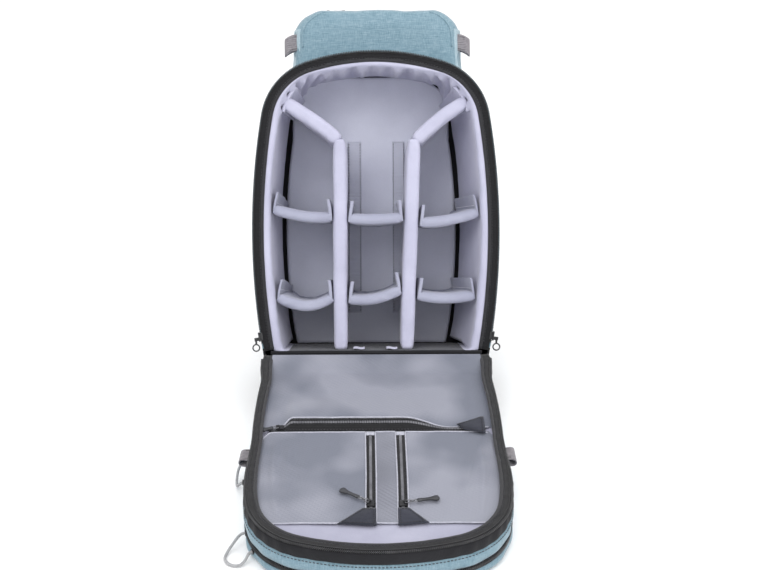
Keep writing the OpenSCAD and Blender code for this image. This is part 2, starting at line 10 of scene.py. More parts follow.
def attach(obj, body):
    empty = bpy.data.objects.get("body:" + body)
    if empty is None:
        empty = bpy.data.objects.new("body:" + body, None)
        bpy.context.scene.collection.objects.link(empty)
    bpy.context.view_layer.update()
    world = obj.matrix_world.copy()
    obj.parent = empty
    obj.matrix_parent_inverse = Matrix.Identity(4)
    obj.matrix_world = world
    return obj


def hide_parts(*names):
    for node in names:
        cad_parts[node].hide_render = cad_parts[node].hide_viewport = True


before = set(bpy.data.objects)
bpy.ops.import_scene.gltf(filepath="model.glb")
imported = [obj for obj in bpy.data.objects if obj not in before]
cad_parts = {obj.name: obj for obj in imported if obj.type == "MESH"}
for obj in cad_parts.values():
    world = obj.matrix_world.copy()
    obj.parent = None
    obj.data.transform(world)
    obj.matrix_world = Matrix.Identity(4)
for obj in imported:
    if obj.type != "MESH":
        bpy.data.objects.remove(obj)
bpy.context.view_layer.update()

# ---------------------------------------------------------------- shape of the frame, in mm
MM = 0.001
OPEN_H, CROWN_R, SHOULDER_R, SIDE_R = 360.0, 265.0, 80.0, 850.0
CASE_D, BOOT_H, HEEL = 130.0, 33.0, 2.2
LEAN, TURN = math.radians(23), math.radians(95)
CROWN_A, SHOULDER_A = math.radians(72), math.radians(9.5)
CROWN_C = np.array([0.0, OPEN_H - CROWN_R])
SHOULDER_C = CROWN_C + (CROWN_R - SHOULDER_R) * np.array([math.cos(CROWN_A), math.sin(CROWN_A)])
SIDE_C = SHOULDER_C + (SHOULDER_R - SIDE_R) * np.array([math.cos(SHOULDER_A), math.sin(SHOULDER_A)])
HINGE_Y = 200.0
HINGE_Z = CASE_D * math.sin(LEAN) + BOOT_H * math.cos(LEAN) - HEEL
CAVITY_IN, CEILING_LIFT, LINING_FLOOR = 25.7, 11.0, 3.0
SWEEP_START, TEETH_START, SWEEP_STEP = 2.0, 12.0, 4.0
ARC_STEPS, FLOOR_STEPS = (7, 60, 22, 26), 60
MIDDLE = np.array([0, 0, 170.0])


def turned(points, angle):
    """Points turned about the hinge, from mm to metres."""
    p = np.asarray(points, float)
    c, s = math.cos(angle), math.sin(angle)
    out = np.empty_like(p)
    out[..., 0] = p[..., 0]
    out[..., 1] = HINGE_Y + p[..., 1] * c - p[..., 2] * s
    out[..., 2] = HINGE_Z + p[..., 1] * s + p[..., 2] * c
    return out * MM


def in_case(points):
    """Case points (x, depth, height) in mm to row-frame metres."""
    return turned(points, -LEAN)


def smooth_step(a, b, v):
    """Eases from 0 at a to 1 at b."""
    t = np.clip((np.asarray(v, float) - a) / (b - a), 0, 1)
    return t * t * (3 - 2 * t)


def pull_in(x, s):
    """The open panel's sides draw in a little between the hinge and its middle."""
    amount = 9.0 * smooth_step(0, 60, s) * (1 - smooth_step(165, 275, s))
    edge = np.clip(np.abs(x) / 140.0, 0, 1.1) ** 3
    return x - np.sign(x) * amount * edge


def in_panel_rigid(points):
    """Panel points (x, depth below the zip plane, distance from the hinge) in mm to metres."""
    return turned(np.asarray(points, float) * [1, -1, 1], TURN)


def in_panel(points):
    """The same for the soft parts, which draw in at the sides."""
    p = np.array(points, float)
    p[..., 0] = pull_in(p[..., 0], p[..., 2])
    return in_panel_rigid(p)


def arch(z0, step):
    """Points and outward normals at an even spacing along the opening, right foot to left foot."""
    a0 = math.asin((z0 - SIDE_C[1]) / SIDE_R)
    arcs = [(SIDE_C, SIDE_R, a0, SHOULDER_A), (SHOULDER_C, SHOULDER_R, SHOULDER_A, CROWN_A),
            (CROWN_C, CROWN_R, CROWN_A, math.pi / 2)]
    half = sum(r * (b - a) for _, r, a, b in arcs)
    n = max(8, int(round(2 * half / step)))
    points, normals = [], []
    for i in range(n + 1):
        d = 2 * half * i / n
        mirror = [-1, 1] if d > half else [1, 1]
        d = min(d, 2 * half - d)
        for c, r, a, b in arcs:
            if d <= r * (b - a) + 1e-9:
                break
            d -= r * (b - a)
        angle = min(a + d / r, b)
        normal = np.array([math.cos(angle), math.sin(angle)])
        points.append((c + r * normal) * mirror)
        normals.append(normal * mirror)
    return np.array(points), np.array(normals)


def ring(inset, floor_z, corner, lift=0.0):
    """Closed outline at an inset with a flat floor; every ring has the same count of points."""
    floor_z = floor_z - lift
    r = SIDE_R - inset
    a = math.asin((floor_z + corner - SIDE_C[1]) / (r - corner))
    foot = SIDE_C + (r - corner) * np.array([math.cos(a), math.sin(a)])
    arcs = ((foot, corner, -math.pi / 2, a), (SIDE_C, r, a, SHOULDER_A),
            (SHOULDER_C, SHOULDER_R - inset, SHOULDER_A, CROWN_A),
            (CROWN_C, CROWN_R - inset, CROWN_A, math.pi / 2))
    half = []
    for (c, radius, a0, a1), n in zip(arcs, ARC_STEPS):
        for t in a0 + (a1 - a0) * np.arange(n) / n:
            half.append(c + radius * np.array([math.cos(t), math.sin(t)]))
    right = np.array(half)
    top = CROWN_C + [0, CROWN_R - inset]
    x = right[0, 0]
    floor = [[-x + 2 * x * k / FLOOR_STEPS, floor_z] for k in range(1, FLOOR_STEPS)]
    return np.concatenate([right, [top], right[::-1] * [-1, 1], floor]) + [0, lift]


def at_depth(outline, depth):
    """A flat (x, height) outline as 3-D points at one depth."""
    return np.stack([outline[:, 0], np.full(len(outline), float(depth)), outline[:, 1]], 1)


def ring_normals(p):
    """Outward normals of a closed flat outline."""
    d = np.roll(p, -1, 0) - np.roll(p, 1, 0)
    n = np.stack([d[:, 1], -d[:, 0]], 1)
    return n / np.linalg.norm(n, axis=1)[:, None]


def outward(points, centre=MIDDLE, level=True):
    """Unit directions away from a centre, without the depth's share if level."""
    out = np.asarray(points, float) - centre
    if level:
        out[..., 1] = 0
    return out / np.linalg.norm(out, axis=-1)[..., None]


def full_turn(n):
    """Angles of n even steps round a circle."""
    return np.arange(n) * 2 * math.pi / n


def squared(angle, power):
    """Cosine and sine of an angle, pushed out towards a square's corners."""
    c, s = np.cos(angle), np.sin(angle)
    out = (np.abs(c) ** power + np.abs(s) ** power) ** (-1 / power)
    return c * out, s * out


# ---------------------------------------------------------------- meshes
def same_place(points):
    """Row-frame points in mm to metres."""
    return np.asarray(points, float) * MM


def fresh_mesh(name, verts, faces, material, place=same_place):
    """A smooth-shaded object from points in mm, put in place."""
    me = bpy.data.meshes.new(name)
    me.from_pydata([tuple(v) for v in place(np.asarray(verts, float).reshape(-1, 3))], [], faces)
    bm = bmesh.new()
    bm.from_mesh(me)
    bmesh.ops.recalc_face_normals(bm, faces=bm.faces)
    bm.to_mesh(me)
    bm.free()
    smooth_shaded(me)
    ob = bpy.data.objects.new(name, me)
    bpy.context.scene.collection.objects.link(ob)
    me.materials.append(material)
    return ob


def smooth_shaded(me):
    """Shades every face of a mesh smooth."""
    for f in me.polygons:
        f.use_smooth = True


def vertices(ob):
    """A mesh's points as rows."""
    co = np.empty(len(ob.data.vertices) * 3)
    ob.data.vertices.foreach_get("co", co)
    return co.reshape(-1, 3)


def move_vertices(ob, co):
    """Writes new places for all of a mesh's points."""
    ob.data.vertices.foreach_set("co", np.asarray(co).ravel())
    ob.data.update()


def grid_faces(nu, nv, closed=False):
    """Quads over a grid of points; closed joins its last column to its first."""
    faces = []
    for i in range(nu - 1):
        for j in range(nv if closed else nv - 1):
            a, b = (i + 1) * nv, (j + 1) % nv
            faces.append((i * nv + j, i * nv + b, a + b, a + j))
    return faces


def end_caps(nu, nv):
    """Flat faces over the first and the last row of a closed grid."""
    return [tuple(range(nv)), tuple((nu - 1) * nv + j for j in reversed(range(nv)))]


def capped(points):
    """Points and faces of a closed grid with both ends capped."""
    p = np.asarray(points, float)
    nu, nv = p.shape[:2]
    return p.reshape(-1, 3), grid_faces(nu, nv, True) + end_caps(nu, nv)


def loft(name, points, material, closed=True, caps="both", place=same_place):
    """A surface over a grid of points; a closed one has caps at both ends, at its last end or at none."""
    p = np.asarray(points, float)
    nu, nv = p.shape[:2]
    faces = grid_faces(nu, nv, closed)
    if closed:
        first, last = end_caps(nu, nv)
        faces += {"both": [first, last], "end": [last], "none": []}[caps]
    return fresh_mesh(name, p, faces, material, place)


def merged(name, blocks, material, place=same_place):
    """Many small closed bodies, each (points, faces), as one piece."""
    verts, faces, start = [], [], 0
    for pts, fcs in blocks:
        verts.append(np.asarray(pts, float).reshape(-1, 3))
        faces += [tuple(start + k for k in f) for f in fcs]
        start += len(verts[-1])
    return fresh_mesh(name, np.concatenate(verts), faces, material, place)


def across_path(path, up):
    """Two unit directions across a path at each of its points."""
    d = np.gradient(path, axis=0)
    d /= np.linalg.norm(d, axis=1)[:, None]
    side = np.cross(d, np.asarray(up, float))
    side[np.linalg.norm(side, axis=1) < 1e-4] = [1, 0, 0]
    side /= np.linalg.norm(side, axis=1)[:, None]
    return side, np.cross(side, d)


def tube_block(path, radius, n=8, up=(0, 0, 1)):
    """Points and faces of a capped tube along a path."""
    p = np.asarray(path, float)
    side, over = across_path(p, up)
    t = full_turn(n)[None, :, None]
    return capped(p[:, None] + radius * (np.cos(t) * side[:, None] + np.sin(t) * over[:, None]))


BOX_FACES = [(0, 1, 3, 2), (4, 6, 7, 5), (0, 4, 5, 1), (2, 3, 7, 6), (0, 2, 6, 4), (1, 5, 7, 3)]


def box_block(centre, u, v, w):
    """A small box with half-axes u, v, w."""
    c = np.asarray(centre, float)
    pts = [c + a * u + b * v + e * w for a in (-1, 1) for b in (-1, 1) for e in (-1, 1)]
    return np.array(pts), BOX_FACES


def strip_block(rows, thick):
    """A flat strip: rows of points, and the offset to its other face."""
    p = np.asarray(rows, float)
    return capped(np.concatenate([p, (p + np.asarray(thick, float))[:, ::-1]], axis=1))


def ripple(p, size, seed=0.0):
    """Smooth noise in -1..1 at a point in mm."""
    return noise.noise(Vector((p[0] / size + seed, p[1] / size - seed, p[2] / size + 2 * seed)))


def ripples(points, size, seed=0.0):
    """The same noise at every point of an array."""
    p = np.asarray(points, float)
    return np.array([ripple(q, size, seed) for q in p.reshape(-1, 3)]).reshape(p.shape[:-1])


def resample(path, step):
    """A path cut into even lengths close to a step."""
    p = np.asarray(path, float)
    d = np.concatenate([[0], np.cumsum(np.linalg.norm(np.diff(p, axis=0), axis=1))])
    n = max(2, int(round(d[-1] / step)))
    t = np.linspace(0, d[-1], n + 1)
    return np.stack([np.interp(t, d, p[:, k]) for k in range(p.shape[1])], 1)


def rounded(path, step, passes):
    """A resampled path with its corners eased."""
    q = resample(path, step)
    for _ in range(passes):
        q[1:-1] = 0.25 * q[:-2] + 0.5 * q[1:-1] + 0.25 * q[2:]
    return q


def done(ob, body, slot, *nodes):
    """Rides a finished piece on its body and hides the CAD nodes it replaces; its slot is not used."""
    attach(ob, body)
    if nodes:
        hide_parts(*nodes)
    return ob


# ---------------------------------------------------------------- materials
def srgb(r, g, b):
    """Linear colour of an 8-bit one."""
    shares = (v / 255.0 for v in (r, g, b))
    return (*(v / 12.92 if v <= 0.04045 else ((v + 0.055) / 1.055) ** 2.4 for v in shares), 1.0)


class Nodes:
    """Small helper that adds shader nodes to one material."""

    def __init__(self, name, roughness, sheen=0.0, metallic=0.0, specular=0.4):
        self.material = bpy.data.materials.new(name)
        self.material.use_nodes = True
        self.tree = self.material.node_tree
        self.bsdf = self.tree.nodes["Principled BSDF"]
        self.bsdf.inputs["Roughness"].default_value = roughness
        self.bsdf.inputs["Metallic"].default_value = metallic
        self.bsdf.inputs["Specular IOR Level"].default_value = specular
        if sheen:
            self.bsdf.inputs["Sheen Weight"].default_value = sheen
            self.bsdf.inputs["Sheen Roughness"].default_value = 0.45
        self.place = self.tree.nodes.new("ShaderNodeTexCoord").outputs["Object"]

    def link(self, a, b):
        self.tree.links.new(a, b)

    def node(self, kind, **values):
        """Adds a node with some of its inputs or properties set."""
        n = self.tree.nodes.new(kind)
        for key, value in values.items():
            if key in n.inputs:
                n.inputs[key].default_value = value
            else:
                setattr(n, key, value)
        return n

    def stretched(self, scale, turn=(0, 0, 0)):
        """Object coordinates, scaled and turned."""
        m = self.node("ShaderNodeMapping")
        m.inputs["Scale"].default_value = scale
        m.inputs["Rotation"].default_value = turn
        self.link(self.place, m.inputs["Vector"])
        return m.outputs["Vector"]

    def noise(self, scale, detail=3.0, vector=None, rough=0.55):
        n = self.node("ShaderNodeTexNoise", Scale=scale, Detail=detail, Roughness=rough)
        self.link(vector or self.place, n.inputs["Vector"])
        return n.outputs["Fac"]

    def wave(self, scale, direction):
        n = self.node("ShaderNodeTexWave", wave_type="BANDS", bands_direction=direction, Scale=scale)
        self.link(self.place, n.inputs["Vector"])
        return n.outputs["Fac"]

    def feed(self, sockets, values):
        """Sets or links each socket, whichever its value calls for."""
        for socket, value in zip(sockets, values):
            if isinstance(value, (int, float, tuple)):
                socket.default_value = value
            else:
                self.link(value, socket)

    def math(self, operation, a, b):
        n = self.node("ShaderNodeMath", operation=operation)
        self.feed(n.inputs, (a, b))
        return n.outputs[0]

    def ramp(self, fac, stops):
        """Colour along a factor."""
        n = self.node("ShaderNodeValToRGB")
        e = n.color_ramp.elements
        while len(e) < len(stops):
            e.new(0.5)
        for item, (at, colour) in zip(e, stops):
            item.position = at
            item.color = colour
        self.link(fac, n.inputs["Fac"])
        return n.outputs["Color"]

    def mix(self, fac, a, b, blend="MIX"):
        n = self.node("ShaderNodeMix", data_type="RGBA", blend_type=blend)
        self.feed((n.inputs[0], n.inputs[6], n.inputs[7]), (fac, a, b))
        return n.outputs[2]

    def finish(self, colour, height=None, strength=0.3, distance=0.0004, rough=None):
        """Joins the colour, the bump height and the roughness to the shader."""
        self.link(colour, self.bsdf.inputs["Base Color"])
        if rough is not None:
            self.link(rough, self.bsdf.inputs["Roughness"])
        if height is not None:
            bump = self.node("ShaderNodeBump", Strength=strength, Distance=distance)
            self.link(height, bump.inputs["Height"])
            self.link(bump.outputs["Normal"], self.bsdf.inputs["Normal"])
        return self.material


def woven(n, scale):
    """Height of a plain weave: crossing ribs on all three axes."""
    ribs = n.math("ADD", n.wave(scale, "X"), n.wave(scale, "Y"))
    return n.math("ADD", ribs, n.wave(scale, "Z"))


def heather(name, dark, mid, light, roughness=0.85):
    """Melange cloth: short streaks of lighter and darker yarn along two directions."""
    n = Nodes(name, roughness, sheen=0.35, specular=0.25)
    across = n.noise(1.0, 4.0, n.stretched((90, 500, 1500)), 0.7)
    down = n.noise(1.0, 4.0, n.stretched((1500, 300, 90)), 0.7)
    yarn = n.math("ADD", n.math("MULTIPLY", across, 0.5), n.math("MULTIPLY", down, 0.5))
    colour = n.ramp(yarn, [(0.36, dark), (0.49, mid), (0.64, light)])
    broad = n.noise(14.0, 3.0)
    colour = n.mix(n.math("MULTIPLY", broad, 0.35), colour, mid)
    height = n.math("ADD", n.math("MULTIPLY", woven(n, 260.0), 0.35), yarn)
    return n.finish(colour, height, 0.35, 0.0005)


def plain_cloth(name, base, other, weave=260.0, roughness=0.85, sheen=0.25, blotch=16.0, amount=0.5,
                bump=0.3):
    """Plain woven or knitted cloth with soft changes of tone."""
    n = Nodes(name, roughness, sheen=sheen, specular=0.3)
    broad = n.noise(blotch, 4.0)
    fine = n.noise(900.0, 2.0)
    tone = n.math("ADD", n.math("MULTIPLY", broad, 0.75), n.math("MULTIPLY", fine, 0.25))
    colour = n.ramp(tone, [(0.5 - 0.3 * amount, other), (0.5 + 0.3 * amount, base)])
    height = n.math("ADD", woven(n, weave), n.math("MULTIPLY", n.noise(120.0, 3.0), 1.6))
    return n.finish(colour, height, bump, 0.0004)


def soft_lining(name, base, other, roughness=0.8, sheen=0.3, blotch=22.0, bump=0.16):
    """Fine brushed lining."""
    return plain_cloth(name, base, other, 420.0, roughness, sheen, blotch, 0.6, bump)


def mesh_cloth(name, base, dark, hole, twill=0.14):
    """Knitted pocket mesh: fine diagonal grid of small holes over blotches of shade."""
    n = Nodes(name, 0.55, sheen=0.4, specular=0.45)
    spot = n.node("ShaderNodeTexVoronoi", feature="F1", Scale=620.0, Randomness=0.12)
    n.link(n.stretched((1, 1, 1), (0.4, 0.2, 0.785)), spot.inputs["Vector"])
    holes = n.ramp(spot.outputs["Distance"], [(0.16, hole), (0.34, (1, 1, 1, 1))])
    shade = n.noise(13.0, 2.0, None, 0.4)
    colour = n.ramp(shade, [(0.40, dark), (0.60, base)])
    colour = n.mix(0.55, colour, holes, "MULTIPLY")
    lines = n.ramp(n.wave(96.0, "DIAGONAL"), [(0.2, (0.62, 0.62, 0.66, 1)), (0.6, (1, 1, 1, 1))])
    patch = n.ramp(n.noise(17.0, 2.0), [(0.44, (0, 0, 0, 1)), (0.6, (1, 1, 1, 1))])
    colour = n.mix(n.math("MULTIPLY", patch, twill), colour, lines, "MULTIPLY")
    return n.finish(colour, spot.outputs["Distance"], 0.35, 0.0005)


def ribbed(name, base, line, scale, roughness=0.7, direction="Y", specular=0.35):
    """Woven tape or webbing: close ribs across it."""
    n = Nodes(name, roughness, sheen=0.2, specular=specular)
    ribs = n.wave(scale, direction)
    other = n.wave(scale * 0.6, "Z")
    tone = n.math("ADD", n.math("MULTIPLY", ribs, 0.35), n.math("MULTIPLY", n.noise(300.0, 3.0), 0.65))
    colour = n.ramp(tone, [(0.3, line), (0.62, base)])
    return n.finish(colour, n.math("ADD", ribs, other), 0.45, 0.0005)


def moulded(name, base, worn, roughness=0.45, metallic=0.0, specular=0.5):
    """Moulded or cast part: fine grain, uneven gloss and slightly rubbed highs."""
    n = Nodes(name, roughness, metallic=metallic, specular=specular)
    grain = n.noise(700.0, 3.0)
    colour = n.ramp(n.noise(60.0, 4.0), [(0.35, base), (0.75, worn)])
    gloss = n.math("ADD", n.math("MULTIPLY", n.noise(90.0, 3.0), 0.25), roughness - 0.12)
    return n.finish(colour, grain, 0.18, 0.0002, gloss)


TEAL = heather("teal_heather", srgb(86, 115, 128), srgb(116, 143, 156), srgb(149, 168, 179))
# A paler copy of the teal heather for the hood's side gussets: painted highlight where the sides catch the
# light.
TEAL_HIGHLIGHT = heather("teal_gusset_highlight", srgb(128, 152, 163), srgb(153, 174, 184), srgb(178, 194, 202))
BLACK = plain_cloth("black_cloth", srgb(31, 31, 35), srgb(18, 18, 22), weave=300.0, sheen=0.05, bump=0.35)
TAPE = ribbed("zip_tape", srgb(26, 26, 29), srgb(15, 15, 18), 420.0, 0.7, specular=0.2)
COIL = moulded("pocket_coil", srgb(104, 104, 110), srgb(140, 140, 146), 0.45)
TEETH = moulded("zip_coil", srgb(36, 36, 38), srgb(66, 66, 68), 0.42)
BINDING = ribbed("edge_binding", srgb(42, 42, 46), srgb(27, 27, 31), 380.0, 0.6, specular=0.28)
LINING = soft_lining("grey_lining", srgb(186, 186, 206), srgb(170, 170, 191))
SHELF = soft_lining("shelf_lining", srgb(160, 162, 180), srgb(146, 148, 167))
# The lid's lining is the grey lining dimmed by about a tenth: painted shade.
LINING_DIMMED = soft_lining("lid_lining_dimmed", srgb(166, 166, 183), srgb(150, 150, 169))
# The back lining's colour is raised almost to white: painted light that offsets the shade deep in the cavity.
BACK_LINING_BRIGHTENED = soft_lining("back_lining", srgb(222, 224, 236), srgb(204, 206, 219), 0.85, 0.2, 12.0, 0.14)
PALE = ribbed("pale_binding", srgb(186, 187, 199), srgb(154, 155, 168), 420.0, 0.6)
POCKET = mesh_cloth("pocket_mesh", srgb(136, 138, 150), srgb(104, 108, 121), (0.42, 0.43, 0.48, 1))
STRIP = mesh_cloth("strip_mesh", srgb(124, 126, 137), srgb(104, 106, 117), (0.4, 0.4, 0.45, 1), 0.42)
AIR = mesh_cloth("air_mesh", srgb(84, 86, 92), srgb(58, 60, 66), (0.12, 0.12, 0.13, 1))
WEB = ribbed("grey_webbing", srgb(142, 138, 142), srgb(104, 100, 106), 360.0, 0.7)
DARK_WEB = ribbed("dark_webbing", srgb(72, 72, 78), srgb(48, 48, 54), 360.0, 0.7)
RUBBER = moulded("pull_rubber", srgb(34, 35, 39), srgb(60, 61, 66), 0.5)
STEEL = moulded("gunmetal", srgb(96, 96, 100), srgb(168, 168, 172), 0.3, metallic=0.85)
PLASTIC = moulded("black_plastic", srgb(34, 34, 36), srgb(58, 58, 60), 0.42)
PAINT = moulded("slider_paint", srgb(38, 38, 40), srgb(74, 74, 76), 0.35, metallic=0.3)
ELASTIC = ribbed("elastic_cord", srgb(188, 188, 190), srgb(140, 140, 144), 900.0, 0.65, "X")
BOARD = moulded("back_board", srgb(66, 66, 70), srgb(80, 80, 84), 0.6)
THREAD = moulded("dark_thread", srgb(40, 40, 44), srgb(70, 70, 76), 0.6)
PALE_THREAD = moulded("pale_thread", srgb(226, 226, 234), srgb(240, 240, 246), 0.6)
FLOOR = plain_cloth("darker_floor", srgb(62, 64, 73), srgb(48, 50, 58), weave=420.0, sheen=0.2)
HOOKS = plain_cloth("hook_strip", srgb(212, 214, 226), srgb(194, 196, 209), weave=200.0, roughness=0.9,
                    bump=0.5)
SHADOW = plain_cloth("gap_shadow", srgb(24, 24, 28), srgb(14, 14, 18), weave=300.0, sheen=0.0)
FLAP = plain_cloth("flap_cloth", srgb(52, 54, 66), srgb(34, 36, 46), weave=380.0, sheen=0.2)


# ---------------------------------------------------------------- camera and cords
CAMERA_AT = (-0.0113, -1.2856, 0.8502)
CAMERA_DIP, CAMERA_TURN = math.radians(24.67), math.radians(0.60)


def add_camera():
    """The camera that looks down at the open bag."""
    data = bpy.data.cameras.new("camera")
    data.lens = 66.3
    data.sensor_width = 36.0
    cam = bpy.data.objects.new("camera", data)
    bpy.context.scene.collection.objects.link(cam)
    cam.location = CAMERA_AT
    level = math.cos(CAMERA_DIP)
    look = Vector((math.sin(CAMERA_TURN) * level, math.cos(CAMERA_TURN) * level, -math.sin(CAMERA_DIP)))
    cam.rotation_euler = look.to_track_quat("-Z", "Y").to_euler()
    bpy.context.scene.camera = cam


def smooth_route(points, per_span=6):
    """Catmull-Rom line through the route's points."""
    p = np.asarray(points, float)
    q = np.concatenate([[2 * p[0] - p[1]], p, [2 * p[-1] - p[-2]]])
    out = []
    for i in range(1, len(q) - 2):
        for k in range(per_span):
            t = k / per_span
            a, b, c, d = q[i - 1:i + 3]
            out.append(0.5 * (2 * b + (c - a) * t + (2 * a - 5 * b + 4 * c - d) * t ** 2
                              + (3 * b - a - 3 * c + d) * t ** 3))
    out.append(q[-2])
    return np.array(out)


def pole_cord(name, route):
    """Elastic loop along its route, as a stiff hanging cord."""
    path = smooth_route(route)
    pts, faces = tube_block(path, 1.5, 10)
    ob = fresh_mesh(name, pts, faces, ELASTIC)
    done(ob, "panel", "elastic_cord", name.replace("_loop", ""))


add_camera()
pole_cord("pole_cord_lower_loop", [
    (-136.3, -80.5, 16.3), (-139.5, -81.1, 16.2), (-142.6, -82, 15), (-146, -84, 12), (-149.5, -87, 8.2),
    (-153, -91, 4.8), (-155.6, -95.6, 2.4), (-157, -100.6, 1.6), (-156.8, -105.8, 1.6),
    (-154.8, -110.6, 1.6), (-151.2, -114.4, 1.6), (-146.4, -116.6, 1.6), (-141.2, -116.4, 1.9),
    (-137.4, -113.8, 3.3), (-135, -111, 5.6), (-133.4, -108.6, 7.9), (-131.6, -106.6, 9.6),
    (-129.6, -105.3, 10.1), (-127.9, -104.4, 10.2)])
pole_cord("pole_cord_upper_loop", [
    (-148, 47.3, 20.4), (-150, 47.2, 20.3), (-151.9, 46.6, 19.2), (-153.4, 45.3, 17.2),
    (-154.6, 43.4, 14.6), (-155.4, 41, 11.7), (-155.9, 38.2, 8.9), (-156.1, 35.2, 6.5),
    (-156, 32.2, 4.8), (-155.7, 29.3, 4), (-155.1, 26.8, 4.3), (-154.2, 24.8, 5.6),
    (-153, 23.5, 7.5), (-151.5, 22.8, 9.3), (-149.8, 22.7, 10.6), (-148.4, 22.7, 11.1),
    (-147.2, 22.8, 11.3)])


# ---------------------------------------------------------------- case: shell and boot


SHELL_STATIONS = [(2.5, 9.0), (2.5, 3.0), (1.6, 2.75), (0.4, 2.8), (0.0, 3.6), (0.0, 8), (0, 20), (0, 34),
                  (0, 48), (0, 62), (0, 76), (0, 90), (0, 104), (0, 116), (0.4, 123), (2.0, 127),
                  (5.0, 129.2), (10, 130), (22, 130), (40, 130), (60, 130)]
FOOT_CORNER, BOOT_TOP = 22.0, 5.0


def shell_points():
    """Tray of the case: inner lip, rim, side and rounded back edge down to the middle of the back."""
    p = np.array([at_depth(ring(inset, inset - BOOT_H, max(FOOT_CORNER - inset, 1.5)), depth)
                  for inset, depth in SHELL_STATIONS])
    depth = p[..., 1]
    side = smooth_step(6, 30, depth) * (1 - smooth_step(100, 126, depth))
    q = p * [1, 0.7, 1]
    swell = side * (1.6 * ripples(q, 70.0, 3.0) + 0.9 * ripples(q, 26.0, 5.0) + 0.7)
    return p + outward(p) * swell[..., None]


def cut_by_height(ob, height, keep_above):
    """Keeps the part of a case-space mesh above or below a height, before it is put in place."""
    bm = bmesh.new()
    bm.from_mesh(ob.data)
    geometry = bm.verts[:] + bm.edges[:] + bm.faces[:]
    bmesh.ops.bisect_plane(bm, geom=geometry, plane_co=(0, 0, height), plane_no=(0, 0, 1),
                           clear_inner=keep_above, clear_outer=not keep_above)
    bm.to_mesh(ob.data)
    bm.free()


def stand(ob):
    """Moves a mesh drawn in case space into place and flattens what would sink below the floor."""
    co = in_case(vertices(ob))
    co[:, 2] = np.maximum(co[:, 2], 0.0)
    move_vertices(ob, co)


def as_drawn(points):
    """Leaves a mesh in mm for a later cut."""
    return np.asarray(points, float)


SHELL = shell_points()
for name, slot, node, cloth, upper in (("outer_shell_cloth", "teal_fabric", "outer_shell", TEAL, True),
                                       ("base_boot_cloth", "black_fabric", "base_boot", BLACK, False)):
    ob = loft(name, SHELL, cloth, caps="end", place=as_drawn)
    cut_by_height(ob, BOOT_TOP, upper)
    stand(ob)
    done(ob, "case", slot, node)


def boot_front():
    """Low front wall of the boot, under the hinge."""
    rows = []
    for z in np.linspace(-33, 0.4, 10):
        half = 122.0 - 14 * smooth_step(-18, -33, z)
        row = []
        for x in np.linspace(-half, half, 61):
            y = 0.9 + 0.5 * ripple((x, 0, z), 22.0, 8.0) + 2.2 * smooth_step(-24, -33, z)
            row.append((x, y, z))
        rows.append(row)
    return strip_block(rows, (0, 2.0, 0))


front_wall = merged("boot_front_wall", [boot_front()], BLACK, place=as_drawn)
stand(front_wall)
done(front_wall, "case", "black_fabric")


def strip_sweep(profile, wave=0.0, seed=0.0):
    """A closed (inset, depth) profile swept along the opening."""
    points, normals = arch(SWEEP_START, SWEEP_STEP)
    rows = []
    for p, n in zip(points, normals):
        jig = wave * ripple((p[0], 0, p[1]), 16.0, seed)
        at = p[None] - n[None] * (profile[:, :1] + 0.4 * jig)
        rows.append(np.stack([at[:, 0], profile[:, 1] + jig, at[:, 1]], 1))
    return rows


def binding_profile(inner, outer, low, high, n=12):
    """Rounded profile between two insets and two depths."""
    c, s = squared(full_turn(n), 4)
    return np.stack([0.5 * (inner + outer) + 0.5 * (outer - inner) * c,
                     0.5 * (low + high) + 0.5 * (high - low) * s], 1)


def teeth_blocks(inset, depth, size, pitch=2.0, start=TEETH_START):
    """Repeated coil turns along the opening."""
    points, normals = arch(start, pitch)
    blocks = []
    for p, n in zip(points, normals):
        t = np.array([n[1], -n[0]])
        c = p - n * inset
        u = np.array([n[0], 0, n[1]]) * size[0]
        v = np.array([t[0], 0, t[1]]) * size[1] + u * 0.25
        blocks.append(box_block((c[0], depth, c[1]), u, v, np.array([0, size[2], 0])))
    return blocks


def zip_strips(body, place):
    """Tape, coil, ridge beside it, rolled binding and stitches on one side of the main zip."""
    ridge = strip_sweep(binding_profile(2.4, 4.2, 0.5, 2.6, 8))
    tape = strip_sweep(binding_profile(1.6, 10.4, 1.0, 2.4, 16), 0.25)
    edge = strip_sweep(binding_profile(9.6, 13.9, 0.6, 3.7), 0.35, 2.0)
    done(loft(f"{body}_tape", tape, TAPE, place=place), body, "black_zip_tape", f"{body}_zip_tape")
    coil = teeth_blocks(1.0, 1.7, (1.15, 0.62, 0.95))
    done(merged(f"{body}_coil", coil, TEETH, place=place), body, "zip_teeth", f"{body}_zip_coil")
    done(loft(f"{body}_coil_cover", ridge, TAPE, place=place), body, "black_zip_tape")
    done(loft(f"{body}_rolled_binding", edge, BINDING, place=place), body, "dark_binding", f"{body}_binding")
    stitches = teeth_blocks(9.0, 0.75, (0.28, 1.0, 0.3), 3.6)
    done(merged(f"{body}_stitches", stitches, THREAD, place=place), body, "dark_binding")


zip_strips("case", in_case)
zip_strips("panel", in_panel)


# ---------------------------------------------------------------- case: padding and back lining
FACE_IN, FACE_LIFT = 22.2, 7.5
PADDING_DEPTHS = (10, 16, 24, 34, 46, 60, 74, 88, 102, 112, 119)
PADDING_BACK = PADDING_DEPTHS[-1]
LINING_DEPTH = 118.9
SPREAD = {-1: 7.0, 1: 17.7}


def taper(depth, side):
    """The padded walls thicken towards the back of the case, more on the right."""
    return SPREAD[side] * smooth_step(10, PADDING_BACK, depth)


def wall_pull(depth, side):
    """How far a part that touches the wall moves in from its plain place."""
    return float(taper(depth, side)) + FACE_IN + 0.3 - CAVITY_IN


def cavity_wall_x(z):
    """Half width of the plain cavity at a height."""
    r = SIDE_R - CAVITY_IN
    return SIDE_C[0] + r * math.cos(math.asin((z - CEILING_LIFT - SIDE_C[1]) / r))


